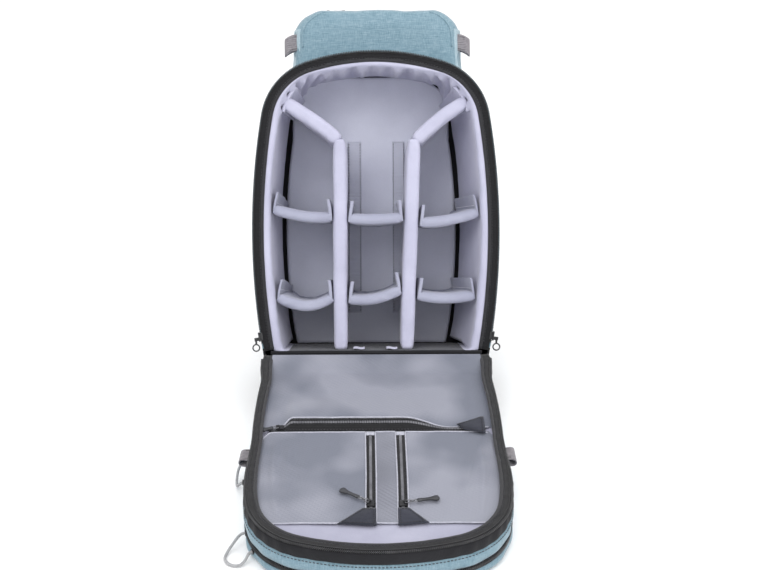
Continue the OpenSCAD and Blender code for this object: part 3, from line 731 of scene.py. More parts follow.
def padding_points():
    """Padded walls, ceiling and floor: rolled front edge, then rows back along the cavity."""
    outer = ring(12.0, 0.8, 8.0)
    inner = ring(FACE_IN, LINING_FLOOR, 5.0, FACE_LIFT)
    crown = 1 - smooth_step(38, 92, np.abs(inner[:, 0]))
    high = smooth_step(200, 330, inner[:, 1])
    inner[:, 1] -= 4.5 * crown * high
    normal = ring_normals(inner)
    beside = smooth_step(60, 110, np.abs(inner[:, 0]))
    corner = beside * (1 - smooth_step(2, 40, inner[:, 1]))
    inner -= normal * [1, 0] * (0.5 * corner)[:, None]
    floor_part = inner[:, 1] < LINING_FLOOR + 1.0
    rows = []
    for f, y in ((0.0, 3.6), (0.12, 2.3), (0.3, 1.5), (0.5, 1.3), (0.7, 1.6), (0.84, 2.6), (0.94, 4.2),
                 (1.0, 6.6)):
        rows.append(at_depth(outer + (inner - outer) * f, y))
    sideways = smooth_step(0.25, 0.85, np.abs(normal[:, 0])) * np.where(floor_part, 0.0, 1.0)
    for y in PADDING_DEPTHS:
        off = np.where(inner[:, 0] < 0, float(taper(y, -1)), float(taper(y, 1))) * sideways
        q = inner - normal * off[:, None]
        q[:, 1] += 1.5 * crown * high * float(smooth_step(10, PADDING_BACK, y))
        rows.append(at_depth(q, y))
    pts = np.array(rows)
    n3 = at_depth(normal, 0)
    depth = pts[..., 1]
    soft = 1.3 * ripples(pts, 34.0, 1.0) + 0.5 * ripples(pts, 13.0, 6.0)
    along = np.arctan2(inner[:, 1] - 180, inner[:, 0])
    shoulder = smooth_step(52, 74, np.abs(inner[:, 0])) * smooth_step(276, 300, inner[:, 1])
    scallop = (np.sin(along * 46) * 2.6 + np.sin(along * 27 + 1.0) * 1.6) * crown * high
    slant = depth * 0.10 * np.sign(inner[:, 0])[None]
    crease = (3.0 + 3.4 * np.sin(along[None] * 64 + slant)) * shoulder[None]
    pucker = (scallop[None] + crease) * smooth_step(3, 12, depth) * (1 - smooth_step(90, PADDING_BACK, depth))
    gather = 1.1 * np.sin(along * 90)[None] * np.exp(-((depth - 9) / 7.0) ** 2) * 0.35
    move = (soft * 0.6 + pucker + gather) * np.where(floor_part[None], 0.25, 1.0)
    pts = pts - n3[None] * move[..., None] * smooth_step(0, 4, depth - 1.0)[..., None]
    pts[..., 1] -= 0.5 * ripples(pts, 22.0, 9.0) * (depth < 6)
    return pts


padding = loft("wall_padding_cloth", padding_points(), LINING, caps="none", place=in_case)
# Faces on the padding's flat floor, between the walls and behind the front edge, take a darker colour than
# the walls.
padding.data.materials.append(FLOOR)
for f in padding.data.polygons:
    spot = f.center * 1000
    up = (spot.y - HINGE_Y) * math.sin(LEAN) + (spot.z - HINGE_Z) * math.cos(LEAN)
    deep = (spot.y - HINGE_Y) * math.cos(LEAN) - (spot.z - HINGE_Z) * math.sin(LEAN)
    if up < LINING_FLOOR + 1.6 and deep > -2.0 and abs(spot.x) < 106.0:
        f.material_index = 1
done(padding, "case", "grey_lining", "wall_padding")


def floor_tab(x0, x1):
    """Pale end of a hook tab that shows at the front edge of the cavity's floor."""
    rows = []
    for x in np.linspace(x0, x1, 15):
        lift = 0.5 * math.sin((x - x0) * 0.5)
        rows.append([(x, y, LINING_FLOOR + 1.0 + lift + 0.06 * y) for y in np.linspace(2.0, 15.0, 8)])
    return strip_block(rows, (0, 0, 1.3))


tabs = [floor_tab(-27.5, -14.0), floor_tab(12.0, 25.0)]
floor_tabs = merged("floor_hook_tabs", tabs, LINING, place=in_case)
done(floor_tabs, "case", "grey_lining")


def inner_height(x, inset):
    """Height of the outline at an inset, over a distance from its middle."""
    x = abs(x)
    if x < (CROWN_R - inset) * math.cos(CROWN_A):
        return CROWN_C[1] + math.sqrt((CROWN_R - inset) ** 2 - x * x)
    return SHOULDER_C[1] + math.sqrt(max((SHOULDER_R - inset) ** 2 - (x - SHOULDER_C[0]) ** 2, 0.0))


def side_width(z, inset):
    """Half width of the outline at an inset and a height, held straight above the shoulders."""
    z = min(z, 262.0)
    return SIDE_C[0] + (SIDE_R - inset) * math.cos(math.asin((z - SIDE_C[1]) / (SIDE_R - inset)))


def lining_bulge(x, z):
    """Soft unevenness of the back lining."""
    return 1.3 * ripple((x, 0, z), 48.0, 4.0) + 0.5 * ripple((x, 0, z), 16.0, 7.0)


def back_lining_rows():
    """Padded cloth at the back of the cavity, a little apart from the walls."""
    rows = []
    for v in np.linspace(0, 1, 91):
        row = []
        for u in np.linspace(0, 1, 81):
            guess = -113.0 * (1 - u) + 102.5 * u
            top = min(inner_height(guess * (1.0 if guess < 0 else 1.09), 17.0) + 6.0, 341.2)
            z = LINING_FLOOR + 1.0 + (top - LINING_FLOOR - 1.0) * v
            left, right = -side_width(z, 34.4), side_width(z, 45.0)
            corner = 0.5 * (1 - float(smooth_step(2, 40, z)))
            x = (left + corner) * (1 - u) + (right - corner) * u
            edge = min(u, 1 - u) * 213.0
            roll = 3.5 * (1 - float(smooth_step(0, 3.0, edge)))
            row.append((x, LINING_DEPTH + lining_bulge(x, z) + roll, z))
        rows.append(row)
    return rows


# The back lining takes the brightened colour, painted light against the cavity's shade.
back = merged("back_lining_cloth", [strip_block(back_lining_rows(), (0, 2.4, 0))], BACK_LINING_BRIGHTENED, place=in_case)
done(back, "case", "grey_back_lining", "back_lining")


def hook_strip(x0, x1):
    """Flat sewn strip on the back lining that the dividers' hooks hold to."""
    rows = []
    for z in np.linspace(42.0, 260.0, 60):
        row = []
        for x in np.linspace(x0, x1, 9):
            row.append((x + 0.5 * ripple((0, 0, z), 30.0, x0), LINING_DEPTH - 0.7 + lining_bulge(x, z), z))
        rows.append(row)
    return strip_block(rows, (0, 1.2, 0))


STRIPS = ((-34.6, -17.6), (22.0, 37.5))
strips = merged("back_hook_strips", [hook_strip(a, b) for a, b in STRIPS], HOOKS, place=in_case)
done(strips, "case", "grey_back_lining")
strip_threads = []
for a, b in STRIPS:
    for x in (a + 1.4, b - 1.4):
        strip_threads.append([(x, LINING_DEPTH - 1.4 + lining_bulge(x, z), z)
                              for z in np.linspace(44, 258, 70)])

# A near-black sheet behind the gap between the padded walls and the back lining: painted shadow in that gap.
gap_rows = [at_depth(ring(inset, 0.8 + (inset - 17) * 0.3, 6.0, 4.0), y)
            for inset, y in ((17.0, 118.0), (19.0, 122.5), (30.0, 124.4), (44.0, 124.6), (60.0, 124.6))]
gap = loft("back_gap_shadow_sheet", gap_rows, SHADOW, caps="end", place=in_case)
done(gap, "case", "black_fabric")

board_rows = [at_depth(ring(inset, 5 + inset * 0.2, 12.0), y)
              for inset, y in ((9.0, 126.9), (8.0, 126.4), (8.0, 125.4), (9.0, 125.0), (30, 125.0),
                               (60, 125.0))]
board = loft("back_board_sheet", board_rows, BOARD, place=in_case)
done(board, "case", "board", "stiffener_sheet")


# ---------------------------------------------------------------- hood, loops, handle
HOOD_HALF, HOOD_FOOT, HOOD_TOP = 103.0, 318.0, 413.0
HOOD_STATIONS = [(60, 41.4), (40, 41.0), (24, 41.2), (15, 42.2), (12.2, 43.4), (9.5, 45.5), (6.0, 50),
                 (3.0, 57), (1.0, 66), (0, 78), (0, 92), (0, 106), (0.6, 116), (3, 123), (8, 127), (16, 128),
                 (40, 128), (60, 128)]


def hood_outline():
    """Open outline of the hood: sides, elliptical top corners and flat top."""
    wide, tall = 31.0, 26.0
    corner = HOOD_HALF - wide
    pts = [(HOOD_HALF + 3.5, HOOD_FOOT), (HOOD_HALF + 3.0, 332.0), (HOOD_HALF + 1.5, 350.0),
           (HOOD_HALF, 370.0)]
    for a in np.linspace(0, math.pi / 2, 10):
        c, s = max(math.cos(a), 0.0), math.sin(a)
        pts.append((corner + wide * c ** 1.2, HOOD_TOP - tall + tall * s ** 1.2))
    pts += [(x, HOOD_TOP) for x in np.linspace(corner, 0, 9)[1:]]
    right = np.array(pts)
    return np.concatenate([right, right[-2::-1] * [-1, 1]])


def crown_height(x):
    """Height of the case's outline over a distance from its middle."""
    x = np.abs(np.asarray(x, float))
    shoulder_x = CROWN_C[0] + CROWN_R * math.cos(CROWN_A)
    crown = CROWN_C[1] + np.sqrt(np.maximum(CROWN_R ** 2 - x ** 2, 0))
    shoulder = SHOULDER_C[1] + np.sqrt(np.maximum(SHOULDER_R ** 2 - (x - SHOULDER_C[0]) ** 2, 0))
    return np.where(x < shoulder_x, crown, shoulder)


def hood_points():
    """Stuffed hood, from its front face over the top to its rear face."""
    outline = hood_outline()
    share = (outline[:, 1] - HOOD_FOOT) / (HOOD_TOP - HOOD_FOOT)
    rows = []
    for inset, y in HOOD_STATIONS:
        top_inset = inset if inset > 20 else 0.55 * inset
        peak = 100.5 - 5.0 * float(smooth_step(50, 66, y))
        x = outline[:, 0] * (HOOD_HALF - inset) / HOOD_HALF
        rows.append(np.stack([x, np.full(len(x), y), HOOD_FOOT + share * (peak - top_inset)], 1))
    pts = np.array(rows)
    soft = 1.8 * ripples(pts, 36.0, 2.0) + 0.7 * ripples(pts, 14.0, 4.0)
    sag = 1.2 * smooth_step(30, 90, pts[..., 1]) * (1 - smooth_step(96, 128, pts[..., 1]))
    pts = pts + outward(pts, (0, 85.0, 330.0), False) * soft[..., None]
    flat_top = smooth_step(395, 411, pts[..., 2]) * (1 - smooth_step(60, 95, np.abs(pts[..., 0])))
    pts[..., 2] -= sag * flat_top
    pts[..., 2] = np.maximum(pts[..., 2], crown_height(pts[..., 0]) - 2.0)
    return pts


def in_hood(points):
    """The stuffed hood sits a little to the right of the middle."""
    return in_case(np.asarray(points, float) + [3.0, 0, 0])


HOOD = hood_points()
hood = loft("hood_cloth", HOOD[2:], TEAL, closed=False, place=in_hood)
done(hood, "case", "teal_fabric", "hood_pocket")


def hood_face(edge, bulge):
    """Fills the hood's front or back inside its last ring."""
    rows = []
    for f in (1.0, 0.8, 0.6, 0.4, 0.2, 0.04):
        row = np.stack([edge[:, 0] * f, edge[:, 1], HOOD_FOOT + (edge[:, 2] - HOOD_FOOT) * f], 1)
        row[:, 1] += bulge * (1 - f ** 2) + 1.2 * ripples(row, 40.0, 3.0) * (1 - f)
        row[:, 2] = np.maximum(row[:, 2], crown_height(row[:, 0]) - 2.0)
        rows.append(row)
    return rows


for label, edge, bulge in (("front", HOOD[2], -1.4), ("rear", HOOD[-3], 1.4)):
    face = loft(f"hood_{label}_face", hood_face(edge, bulge), TEAL, closed=False, place=in_hood)
    done(face, "case", "teal_fabric")

for label, sign in (("left", -1), ("right", 1)):
    path = rounded([q for q in HOOD[4] if sign * q[0] > 62 and q[2] > 352], 3.0, 2)
    seam = merged(f"hood_piping_{label}", [tube_block(path, 1.25, 8, (0, 1, 0))], TEAL, place=in_hood)
    done(seam, "case", "teal_fabric")
    gusset_rows = []
    for y, inset in ((46.2, 9.0), (50.0, 6.0), (57.0, 3.0), (66.0, 1.0), (76.0, 0.2), (84.0, 0.0)):
        row = []
        for z in np.linspace(342, 392, 20):
            x = sign * (HOOD_HALF - inset + 0.6 + 1.4 * smooth_step(370, 342, z))
            row.append((x + sign * 1.0 * ripple((x, y, z), 18.0, 3.0), y, z))
        gusset_rows.append(row)
    side = strip_block(gusset_rows, (-sign * 1.6, 0, 0))
    # The side gussets take the paler teal, a painted highlight.
    side = merged(f"hood_gusset_{label}", [side], TEAL_HIGHLIGHT, place=in_hood)
    done(side, "case", "teal_fabric")

zip_rows = [[(x, y, HOOD_TOP + 0.2 + 0.5 * math.cos(y / 9.0) + 0.25 * ripple((x, y, 0), 20.0))
             for y in np.linspace(65, 91, 9)] for x in np.linspace(-75, 75, 51)]
hood_tape = merged("hood_zip_tape", [strip_block(zip_rows, (0, 0, 0.8))], TAPE, place=in_case)
done(hood_tape, "case", "black_zip_tape", "hood_zip")
hood_teeth = merged("hood_zip_coil", [
    box_block((x, 78.0, HOOD_TOP + 1.7), np.array([0.62, 0, 0]), np.array([0.25, 2.4, 0]),
              np.array([0, 0, 0.7]))
    for x in np.arange(-68, 68, 1.9)], TEETH, place=in_case)
done(hood_teeth, "case", "zip_teeth")
hood_stitch = merged("hood_zip_stitches", [
    box_block((x, y, HOOD_TOP + 1.35), np.array([1.1, 0, 0]), np.array([0, 0.25, 0]), np.array([0, 0, 0.25]))
    for x in np.arange(-72, 72, 3.8) for y in (68.0, 88.0)], THREAD, place=in_case)
done(hood_stitch, "case", "black_zip_tape")


LOOP_REACH, WEB_W = 15.0, 20.0


def ribbon_loop(droop, twist):
    """Folded webbing loop standing out along +X: a strip folded on itself, its slot along Z."""
    path = [(-4.0, -4.6), (0, -4.4), (6, -4.4), (9.6, -4.3)]
    for a in np.radians(np.linspace(-90, 90, 9)[1:-1]):
        path.append((10.3 + 4.3 * math.cos(a), 4.3 * math.sin(a)))
    path += [(9.6, 4.3), (6, 4.4), (0, 4.4), (-4.0, 4.6)]
    path = rounded(path, 1.2, 2)
    n = len(path)
    rows = []
    for i, (x, y) in enumerate(path):
        d = path[min(i + 1, n - 1)] - path[max(i - 1, 0)]
        d = d / np.linalg.norm(d)
        out = x / LOOP_REACH
        row = []
        for face, shares in ((1, np.linspace(0, 1, 9)), (-1, np.linspace(1, 0, 9))):
            for f in shares:
                edge = face * (0.72 - 0.22 * (abs(2 * f - 1) ** 6))
                row.append((x + d[1] * edge, y - d[0] * edge + twist * out * (f - 0.5),
                            f * WEB_W - droop * out ** 2 + (f - 0.5) * out))
        rows.append(row)
    return np.array(rows)


def web_loops(name, body, place, at, droop, replaced):
    """A pair of webbing loops at both sides, with two rows of stitches through each."""
    blocks, stitches = [], []
    for sign in (1, -1):
        blocks.append(capped((ribbon_loop(droop, 2.0 * sign) + at) * [sign, 1, 1]))
        for z in (2.4, WEB_W - 2.4):
            for x in np.arange(1.0, 9.5, 2.2):
                for y in (-5.2, 5.2):
                    where = (sign * (x + at[0]), at[1] + y, at[2] + z - droop * (x / LOOP_REACH) ** 2)
                    stitches.append(box_block(where, *(np.eye(3) * (0.8, 0.22, 0.25))))
    done(merged(name, blocks, WEB, place=place), body, "grey_webbing", replaced)
    done(merged(name + "_stitches", stitches, THREAD, place=place), body, "grey_webbing")


web_loops("hood_loop_webbing", "case", in_hood, (98.6, 56.0, 366.0), 7.0, "hood_loops")
PANEL_LOOP_S = 166.0
panel_side = SIDE_C[0] + SIDE_R * math.cos(math.asin((PANEL_LOOP_S - SIDE_C[1]) / SIDE_R))
web_loops("panel_loop_webbing", "panel", in_panel, (panel_side + 0.2, 24.0, PANEL_LOOP_S), 1.0, "panel_loops")


HANDLE_HALF, HANDLE_OUT, HANDLE_FOOT, HANDLE_Z = 52.0, 30.5, 131.2, 400.0


def handle_rows():
    """The handle's bow: a flat webbing section that thickens into a grip."""
    rows = []
    for a in np.linspace(0, math.pi, 45):
        c = np.array([HANDLE_HALF * math.cos(a), HANDLE_FOOT + HANDLE_OUT * math.sin(a)])
        t = np.array([-HANDLE_HALF * math.sin(a), HANDLE_OUT * math.cos(a)])
        t /= np.linalg.norm(t)
        half_w, half_t = 12.0, 1.6 + 1.5 * float(smooth_step(0.28, 0.55, math.sin(a)))
        row = []
        for k, b in enumerate(full_turn(20)):
            across, off = squared(b, 5)
            row.append((c[0] - t[1] * half_t * off, c[1] + t[0] * half_t * off,
                        HANDLE_Z + half_w * across + 0.4 * ripple((c[0], c[1], k), 15.0)))
        rows.append(row)
    return rows


handle = merged("grab_handle_webbing", [capped(handle_rows())], DARK_WEB, place=in_case)
done(handle, "case", "grey_webbing", "grab_handle")
tails, bars = [], []
TAIL_X = 57
for sign in (1, -1):
    rows = [[(sign * TAIL_X + u, 128.6 + 0.25 * ripple((u, 0, z), 8.0), z) for u in np.linspace(-9, 9, 7)]
            for z in np.linspace(371, 412, 17)]
    tails.append(strip_block(rows, (0, 2.2, 0)))
    for z0, z1 in ((378, 378), (405, 405), (378, 405), (405, 378)):
        line = np.linspace((sign * TAIL_X - 6.5, 131.0, z0), (sign * TAIL_X + 6.5, 131.0, z1), 8)
        bars.append(tube_block(line, 0.35, 6))
done(merged("grab_handle_tails", tails, DARK_WEB, place=in_case), "case", "grey_webbing")
done(merged("grab_handle_stitches", bars, PALE_THREAD, place=in_case), "case", "grey_webbing")


# ---------------------------------------------------------------- back harness
def pillow(centre, half, depth, seed):
    """A crowned pad on the XZ plane whose face looks along +Y."""
    rows = []
    for g in (1 - np.arange(8) / 7):
        row = []
        for a in full_turn(72):
            c, s = squared(a, 4)
            x = centre[0] + half[0] * c * g
            z = centre[2] + half[1] * s * g
            y = centre[1] + depth * (1 - g ** 3.2) ** 0.55
            y += 0.7 * ripple((x, y, z), 18.0, seed) * (g < 1)
            row.append((x, y, z))
        rows.append(row)
    return rows


def back_pad_rows():
    """Base of the harness pad: rings from its edge to its middle."""
    outlines = [ring(i, i - 1.5, 24.0) for i in (15.5, 16.0, 19.0, 30.0, 50.0)]
    middle = np.array([0, 175])
    outlines += [middle + (outlines[-1] - middle) * f for f in (0.75, 0.5, 0.28, 0.1)]
    depths = (130.05, 132.6, 134.0, 134.1, 134.2, 134.2, 134.2, 134.2, 134.2)
    rows = []
    for k, (outline, depth) in enumerate(zip(outlines, depths)):
        uneven = 0.7 if k > 1 else 0.0
        rows.append([(x, depth + uneven * ripple((x, 0, z), 24.0, 5.0), z) for x, z in outline])
    return rows


done(loft("back_pad_base", back_pad_rows(), AIR, caps="end", place=in_case), "case", "back_mesh", "back_pad")
for row in range(4):
    for label, sign in (("left", -1), ("right", 1)):
        cushion = loft(f"back_cushion_{label}_{row + 1}",
                       pillow((sign * 52.0, 133.4, 67.0 + 76 * row), (34.0, 33.0), 8.8, row + sign), AIR,
                       place=in_case)
        done(cushion, "case", "back_mesh")
back_edge = at_depth(ring(16.0, 14.0, 24.0), 133.2)
back_edge = tube_block(np.concatenate([back_edge, back_edge[:1]]), 1.7, 8, (0, 1, 0))
done(merged("back_pad_binding", [back_edge], BINDING, place=in_case), "case", "back_mesh")

STRAP = ((52, 138.5, 352), (55, 149, 340), (58, 162, 318), (63, 176, 280), (70, 184, 235), (79, 184, 190),
         (88, 176, 145), (95, 164, 108), (99, 153, 82))


STRAP_T = 6.0
STRAP_PATH = smooth_route(STRAP, 8)


def strap_normals():
    """Directions out of the strap's face, in the plane of depth and height."""
    d = np.gradient(STRAP_PATH, axis=0) * [0, 1, 1]
    d /= np.linalg.norm(d, axis=1)[:, None]
    n = np.stack([d[:, 0], -d[:, 2], d[:, 1]], 1)
    return n * np.where(n[:, 1] < 0, -1, 1)[:, None]


STRAP_N = strap_normals()


def strap_thick(f):
    """Half thickness of the pad at a share of its length, thinner at its lower end."""
    return STRAP_T - 2.2 * float(smooth_step(0.92, 1.0, f))


def strap_rows(sign):
    """Padded strap on one side, as rounded cross sections along its path."""
    rows = []
    for i, (p, normal) in enumerate(zip(STRAP_PATH, STRAP_N)):
        f = i / (len(STRAP_PATH) - 1)
        half = 31.0 - 5.0 * (1 - float(smooth_step(0, 0.16, f))) - 9.0 * float(smooth_step(0.9, 1.0, f))
        thick = strap_thick(f) - 2.5 * (1 - float(smooth_step(0, 0.08, f)))
        row = []
        for a in full_turn(32):
            across, over = squared(a, 3.4)
            at = p + np.array([half * across, 0, 0]) + normal * thick * over
            at = at + normal * 0.6 * ripple(at, 24.0, 6.0)
            row.append((sign * at[0], at[1], at[2]))
        rows.append(row)
    return np.array(rows)


for label, sign in (("left", -1), ("right", 1)):
    rows = strap_rows(sign)
    ob = loft(f"shoulder_strap_{label}_pad", rows, AIR, place=in_case)
    done(ob, "case", "back_mesh", f"shoulder_strap_{label}")
    edges = [tube_block(rows[:, k], 1.5, 8, (0, 1, 0)) for k in (0, 16)]
    done(merged(f"shoulder_strap_{label}_binding", edges, BINDING, place=in_case), "case", "dark_binding")
    web = []
    for i in range(4, len(STRAP_PATH) - 2):
        p = STRAP_PATH[i] + STRAP_N[i] * (strap_thick(i / (len(STRAP_PATH) - 1)) + 0.5)
        web.append([(sign * (STRAP_PATH[i][0] + u), p[1], p[2]) for u in np.linspace(-10, 10, 7)])
    done(merged(f"shoulder_strap_{label}_daisy", [strip_block(web, (0, 1.1, 0.2))], DARK_WEB, place=in_case),
         "case", "grey_webbing")

tail_line = smooth_route([(0, 146.5, 62), (0, 143, 44), (0, 138, 24), (0, 134, 6), (0, 131.4, -4),
                          (0, 131.2, -20)])
webs = []
for sign in (1, -1):
    rows = [[(sign * 101 + u, y + 0.2 * ripple((u, y, z), 9.0), z) for u in np.linspace(-9.6, 9.6, 7)]
            for _, y, z in tail_line]
    webs.append(strip_block(rows, (0, 1.4, 0.2)))
done(merged("strap_webbing_tails", webs, DARK_WEB, place=in_case), "case", "grey_webbing", "strap_webbing")


# ---------------------------------------------------------------- dividers
PUSH_CAP = 0.0009
SIM_FRAMES = 20


def stuffed(ob, voxel):
    """Swells a closed piece with a short cloth simulation, then smooths the result."""
    scene = bpy.context.scene
    remesh = ob.modifiers.new("remesh", "REMESH")
    remesh.mode = "VOXEL"
    remesh.voxel_size = voxel
    baked(ob)
    start = vertices(ob)
    settings = ob.modifiers.new("cloth", "CLOTH").settings
    settings.quality = 4
    settings.use_pressure = True
    settings.uniform_pressure_force = 2.5
    settings.effector_weights.gravity = 0.0
    settings.shrink_min = -0.02
    settings.tension_stiffness = 12
    settings.compression_stiffness = 12
    settings.bending_stiffness = 0.6
    for frame_number in range(1, SIM_FRAMES + 1):
        scene.frame_set(frame_number)
    baked(ob)
    move = vertices(ob) - start
    far = np.linalg.norm(move, axis=1)
    move *= (np.minimum(far, PUSH_CAP) / np.maximum(far, 1e-9))[:, None]
    move_vertices(ob, start + move)
    scene.frame_set(1)
    smooth = ob.modifiers.new("smooth", "SMOOTH")
    smooth.factor = 0.5
    smooth.iterations = 1
    finer = ob.modifiers.new("finer", "SUBSURF")
    finer.levels = 1
    finer.render_levels = 1
    baked(ob)
    smooth_shaded(ob.data)


def baked(ob):
    """Applies every modifier on a piece."""
    shape = ob.evaluated_get(bpy.context.evaluated_depsgraph_get())
    me = bpy.data.meshes.new_from_object(shape)
    material = ob.data.materials[0]
    old = ob.data
    ob.modifiers.clear()
    ob.data = me
    bpy.data.meshes.remove(old)
    if not me.materials:
        me.materials.append(material)


DIV_Y0, DIV_Y1 = 8.6, 117.0
LONG_T, SHORT_T, TAB_H = 16.0, 11.0, 22.0
ARM_FOOT = 260.0
LEFT_FACE, RIGHT_FACE = (43.0, 42.6), (37.0, 46.0)


def long_x(face, z):
    """Middle of a long divider at a height."""
    return face[0] + (face[1] - face[0]) * min(1.0, (z - LINING_FLOOR) / (ARM_FOOT - 14 - LINING_FLOOR))


def section(half, t, r):
    """Points (depth, across) of a rounded rectangle, with extra points on its long sides."""
    corners = []
    for sy, sw, a0 in ((1, 1, 90), (1, -1, 0), (-1, -1, -90), (-1, 1, 180)):
        corners.append([(sy * (half - r) + r * math.cos(a), sw * (t - r) + r * math.sin(a))
                        for a in np.radians(np.linspace(a0, a0 - 90, 5))])
    out = []
    for k, corner in enumerate(corners):
        out += corner
        (y0, w0), (y1, w1) = corner[-1], corners[(k + 1) % 4][0]
        if abs(w1 - w0) < 1e-6:
            out += [(y0 + (y1 - y0) * f, w1) for f in np.linspace(0, 1, 12)[1:-1]]
    return out


def bar(path, thickness, shift, depth=(DIV_Y0, DIV_Y1)):
    """A padded bar: an (x, z) path with a squared section across its thickness and the case's depth."""
    n = len(path)
    rows = []
    mid, half = 0.5 * (depth[0] + depth[1]), 0.5 * (depth[1] - depth[0])
    for i, p in enumerate(path):
        d = path[min(i + 1, n - 1)] - path[max(i - 1, 0)]
        d = d / np.linalg.norm(d)
        nrm = np.array([-d[1], d[0]])
        row = []
        for along, across in section(half, 0.5 * thickness[i], min(3.0, 0.45 * thickness[i])):
            y = mid + along
            q = p + nrm * across
            q = q + shift(q, y)
            row.append((q[0], y, q[1]))
        rows.append(row)
    return np.array(rows)


def long_divider(side, face, seed):
    """Upright bar and the arm folded over its top, which leans out to the wall."""
    foot, bend = face
    upright = rounded([(foot, LINING_FLOOR + 0.4), ((foot + bend) / 2, 130), (bend, ARM_FOOT - 16),
                       (bend + 0.6, ARM_FOOT - 5)], 3.5, 2)
    arm = rounded([(bend + 1.5, ARM_FOOT - 6.0), (bend + 17, ARM_FOOT + 7.5), (84, 285.0), (97.0, 294.5),
                   (106.5, 300.5)], 3.5, 1)

    def shift(q, y):
        toward_wall = smooth_step(70, 102, q[0])
        lean = 0.8 * ripple((q[0], y, q[1]), 55.0, seed)
        pull = wall_pull(y, side)
        return np.array([-pull * toward_wall + lean, -0.25 * toward_wall * max(pull, 0.0)])

    pieces = []
    for path, ends, y0 in ((upright, (0.0, 0.2), DIV_Y0), (arm, (0.25, 0.3), DIV_Y0 + 0.9)):
        s = np.linspace(0, 1, len(path))
        thick = LONG_T - 1.0 + 0.7 * np.array([ripple((0, 0, q[1]), 40.0, seed) for q in path])
        thick *= 1 - ends[0] * (1 - smooth_step(0.0, 0.07, s))
        thick *= 1 - ends[1] * smooth_step(0.95, 1.0, s)
        rows = bar(path, thick, shift, depth=(y0, DIV_Y1))
        rows[..., 0] *= side
        pieces.append(rows)
    return pieces


def curl_leaf(side, seed):
    """The arm's tip, a thinner flap that turns up along the wall."""
    centre = SHOULDER_C + [0, FACE_LIFT]
    rows = []
    for y in np.linspace(DIV_Y0 + 0.8, DIV_Y1 - 1, 28):
        row = []
        for k, a in enumerate(np.radians(np.linspace(10, 47, 16))):
            lift = 0.9 * ripple((0, y, k), 26.0, seed)
            r = SHOULDER_R - FACE_IN - 5.2 - 0.95 * float(taper(y, side)) + lift
            q = centre + r * np.array([math.cos(a), math.sin(a)])
            front = 3.0 * (k / 15) ** 3
            row.append((side * q[0], y + front, q[1]))
        rows.append(row)
    return strip_block(rows, (side * 3.4, 0, 1.4))


def stitched_line(points, every=3.6, size=0.24):
    """Dashes of thread along a line."""
    q = resample(points, every)
    blocks = []
    for a, b in zip(q[:-1], q[1:]):
        d = 0.34 * (b - a)
        side = np.cross(d, (0.3, 0.2, 1.0))
        side = side / np.linalg.norm(side) * size
        over = np.cross(d, side)
        blocks.append(box_block(0.5 * (a + b), d, side, over / np.linalg.norm(over) * size))
    return blocks


for label, side, face in (("left", -1, LEFT_FACE), ("right", 1, RIGHT_FACE)):
    node = f"long_divider_{label}"
    for part, rows in zip(("pad", "arm"), long_divider(side, face, 3.0 + side)):
        ob = loft(f"{node}_{part}", rows, LINING, place=in_case)
        stuffed(ob, 0.0032)
        done(ob, node, "grey_lining", *([node] if part == "pad" else []))
    leaf = merged(f"{node}_tip", [curl_leaf(side, 2.0 + side)], LINING, place=in_case)
    done(leaf, node, "grey_lining")


def sag_line(x0, z0, x1, z1, sag):
    """A line between two points that hangs by a sag in its middle."""
    u = np.linspace(0, 1, 25)
    return np.stack([x0 + (x1 - x0) * u, z0 + (z1 - z0) * u - 4 * sag * u * (1 - u)], 1)


def tab_point(x, z, outward_x, at_wall, seed, f, up, y):
    """A point of a hook tab: it leans in from its wall and drops towards the back."""
    lean = -outward_x * (0.5 + (3.4 if at_wall else 3.0) * f ** 1.4)
    lean += (0.4 + 1.3 * f) * ripple((0, y, up), 20.0, seed)
    wall = -outward_x * wall_pull(y, outward_x) if at_wall else 0.0
    drop = (-9.0 if at_wall and outward_x < 0 else -2.0) * f * float(smooth_step(20, 117, y))
    return (x + lean + wall, y, z + up + drop)


def tab_block(x, z, outward_x, at_wall, seed):
    """Hook tab: a thin leaf beside a wall or a long divider."""
    y0 = DIV_Y0 + 0.5
    rows = []
    for k, up in enumerate(np.linspace(-5.0, TAB_H - 1.5, 15)):
        f = k / 14
        start = 5.0 * f ** 2.2
        ys = [y0 + start + (y - y0) * (1 - (start + 3 * f) / 110.0)
              for y in np.linspace(y0, DIV_Y1 - 1, 27)]
        rows.append([tab_point(x, z, outward_x, at_wall, seed, f, up, y) for y in ys])
    return strip_block(rows, (-outward_x * (2.4 if at_wall else 3.8), 0, 0))


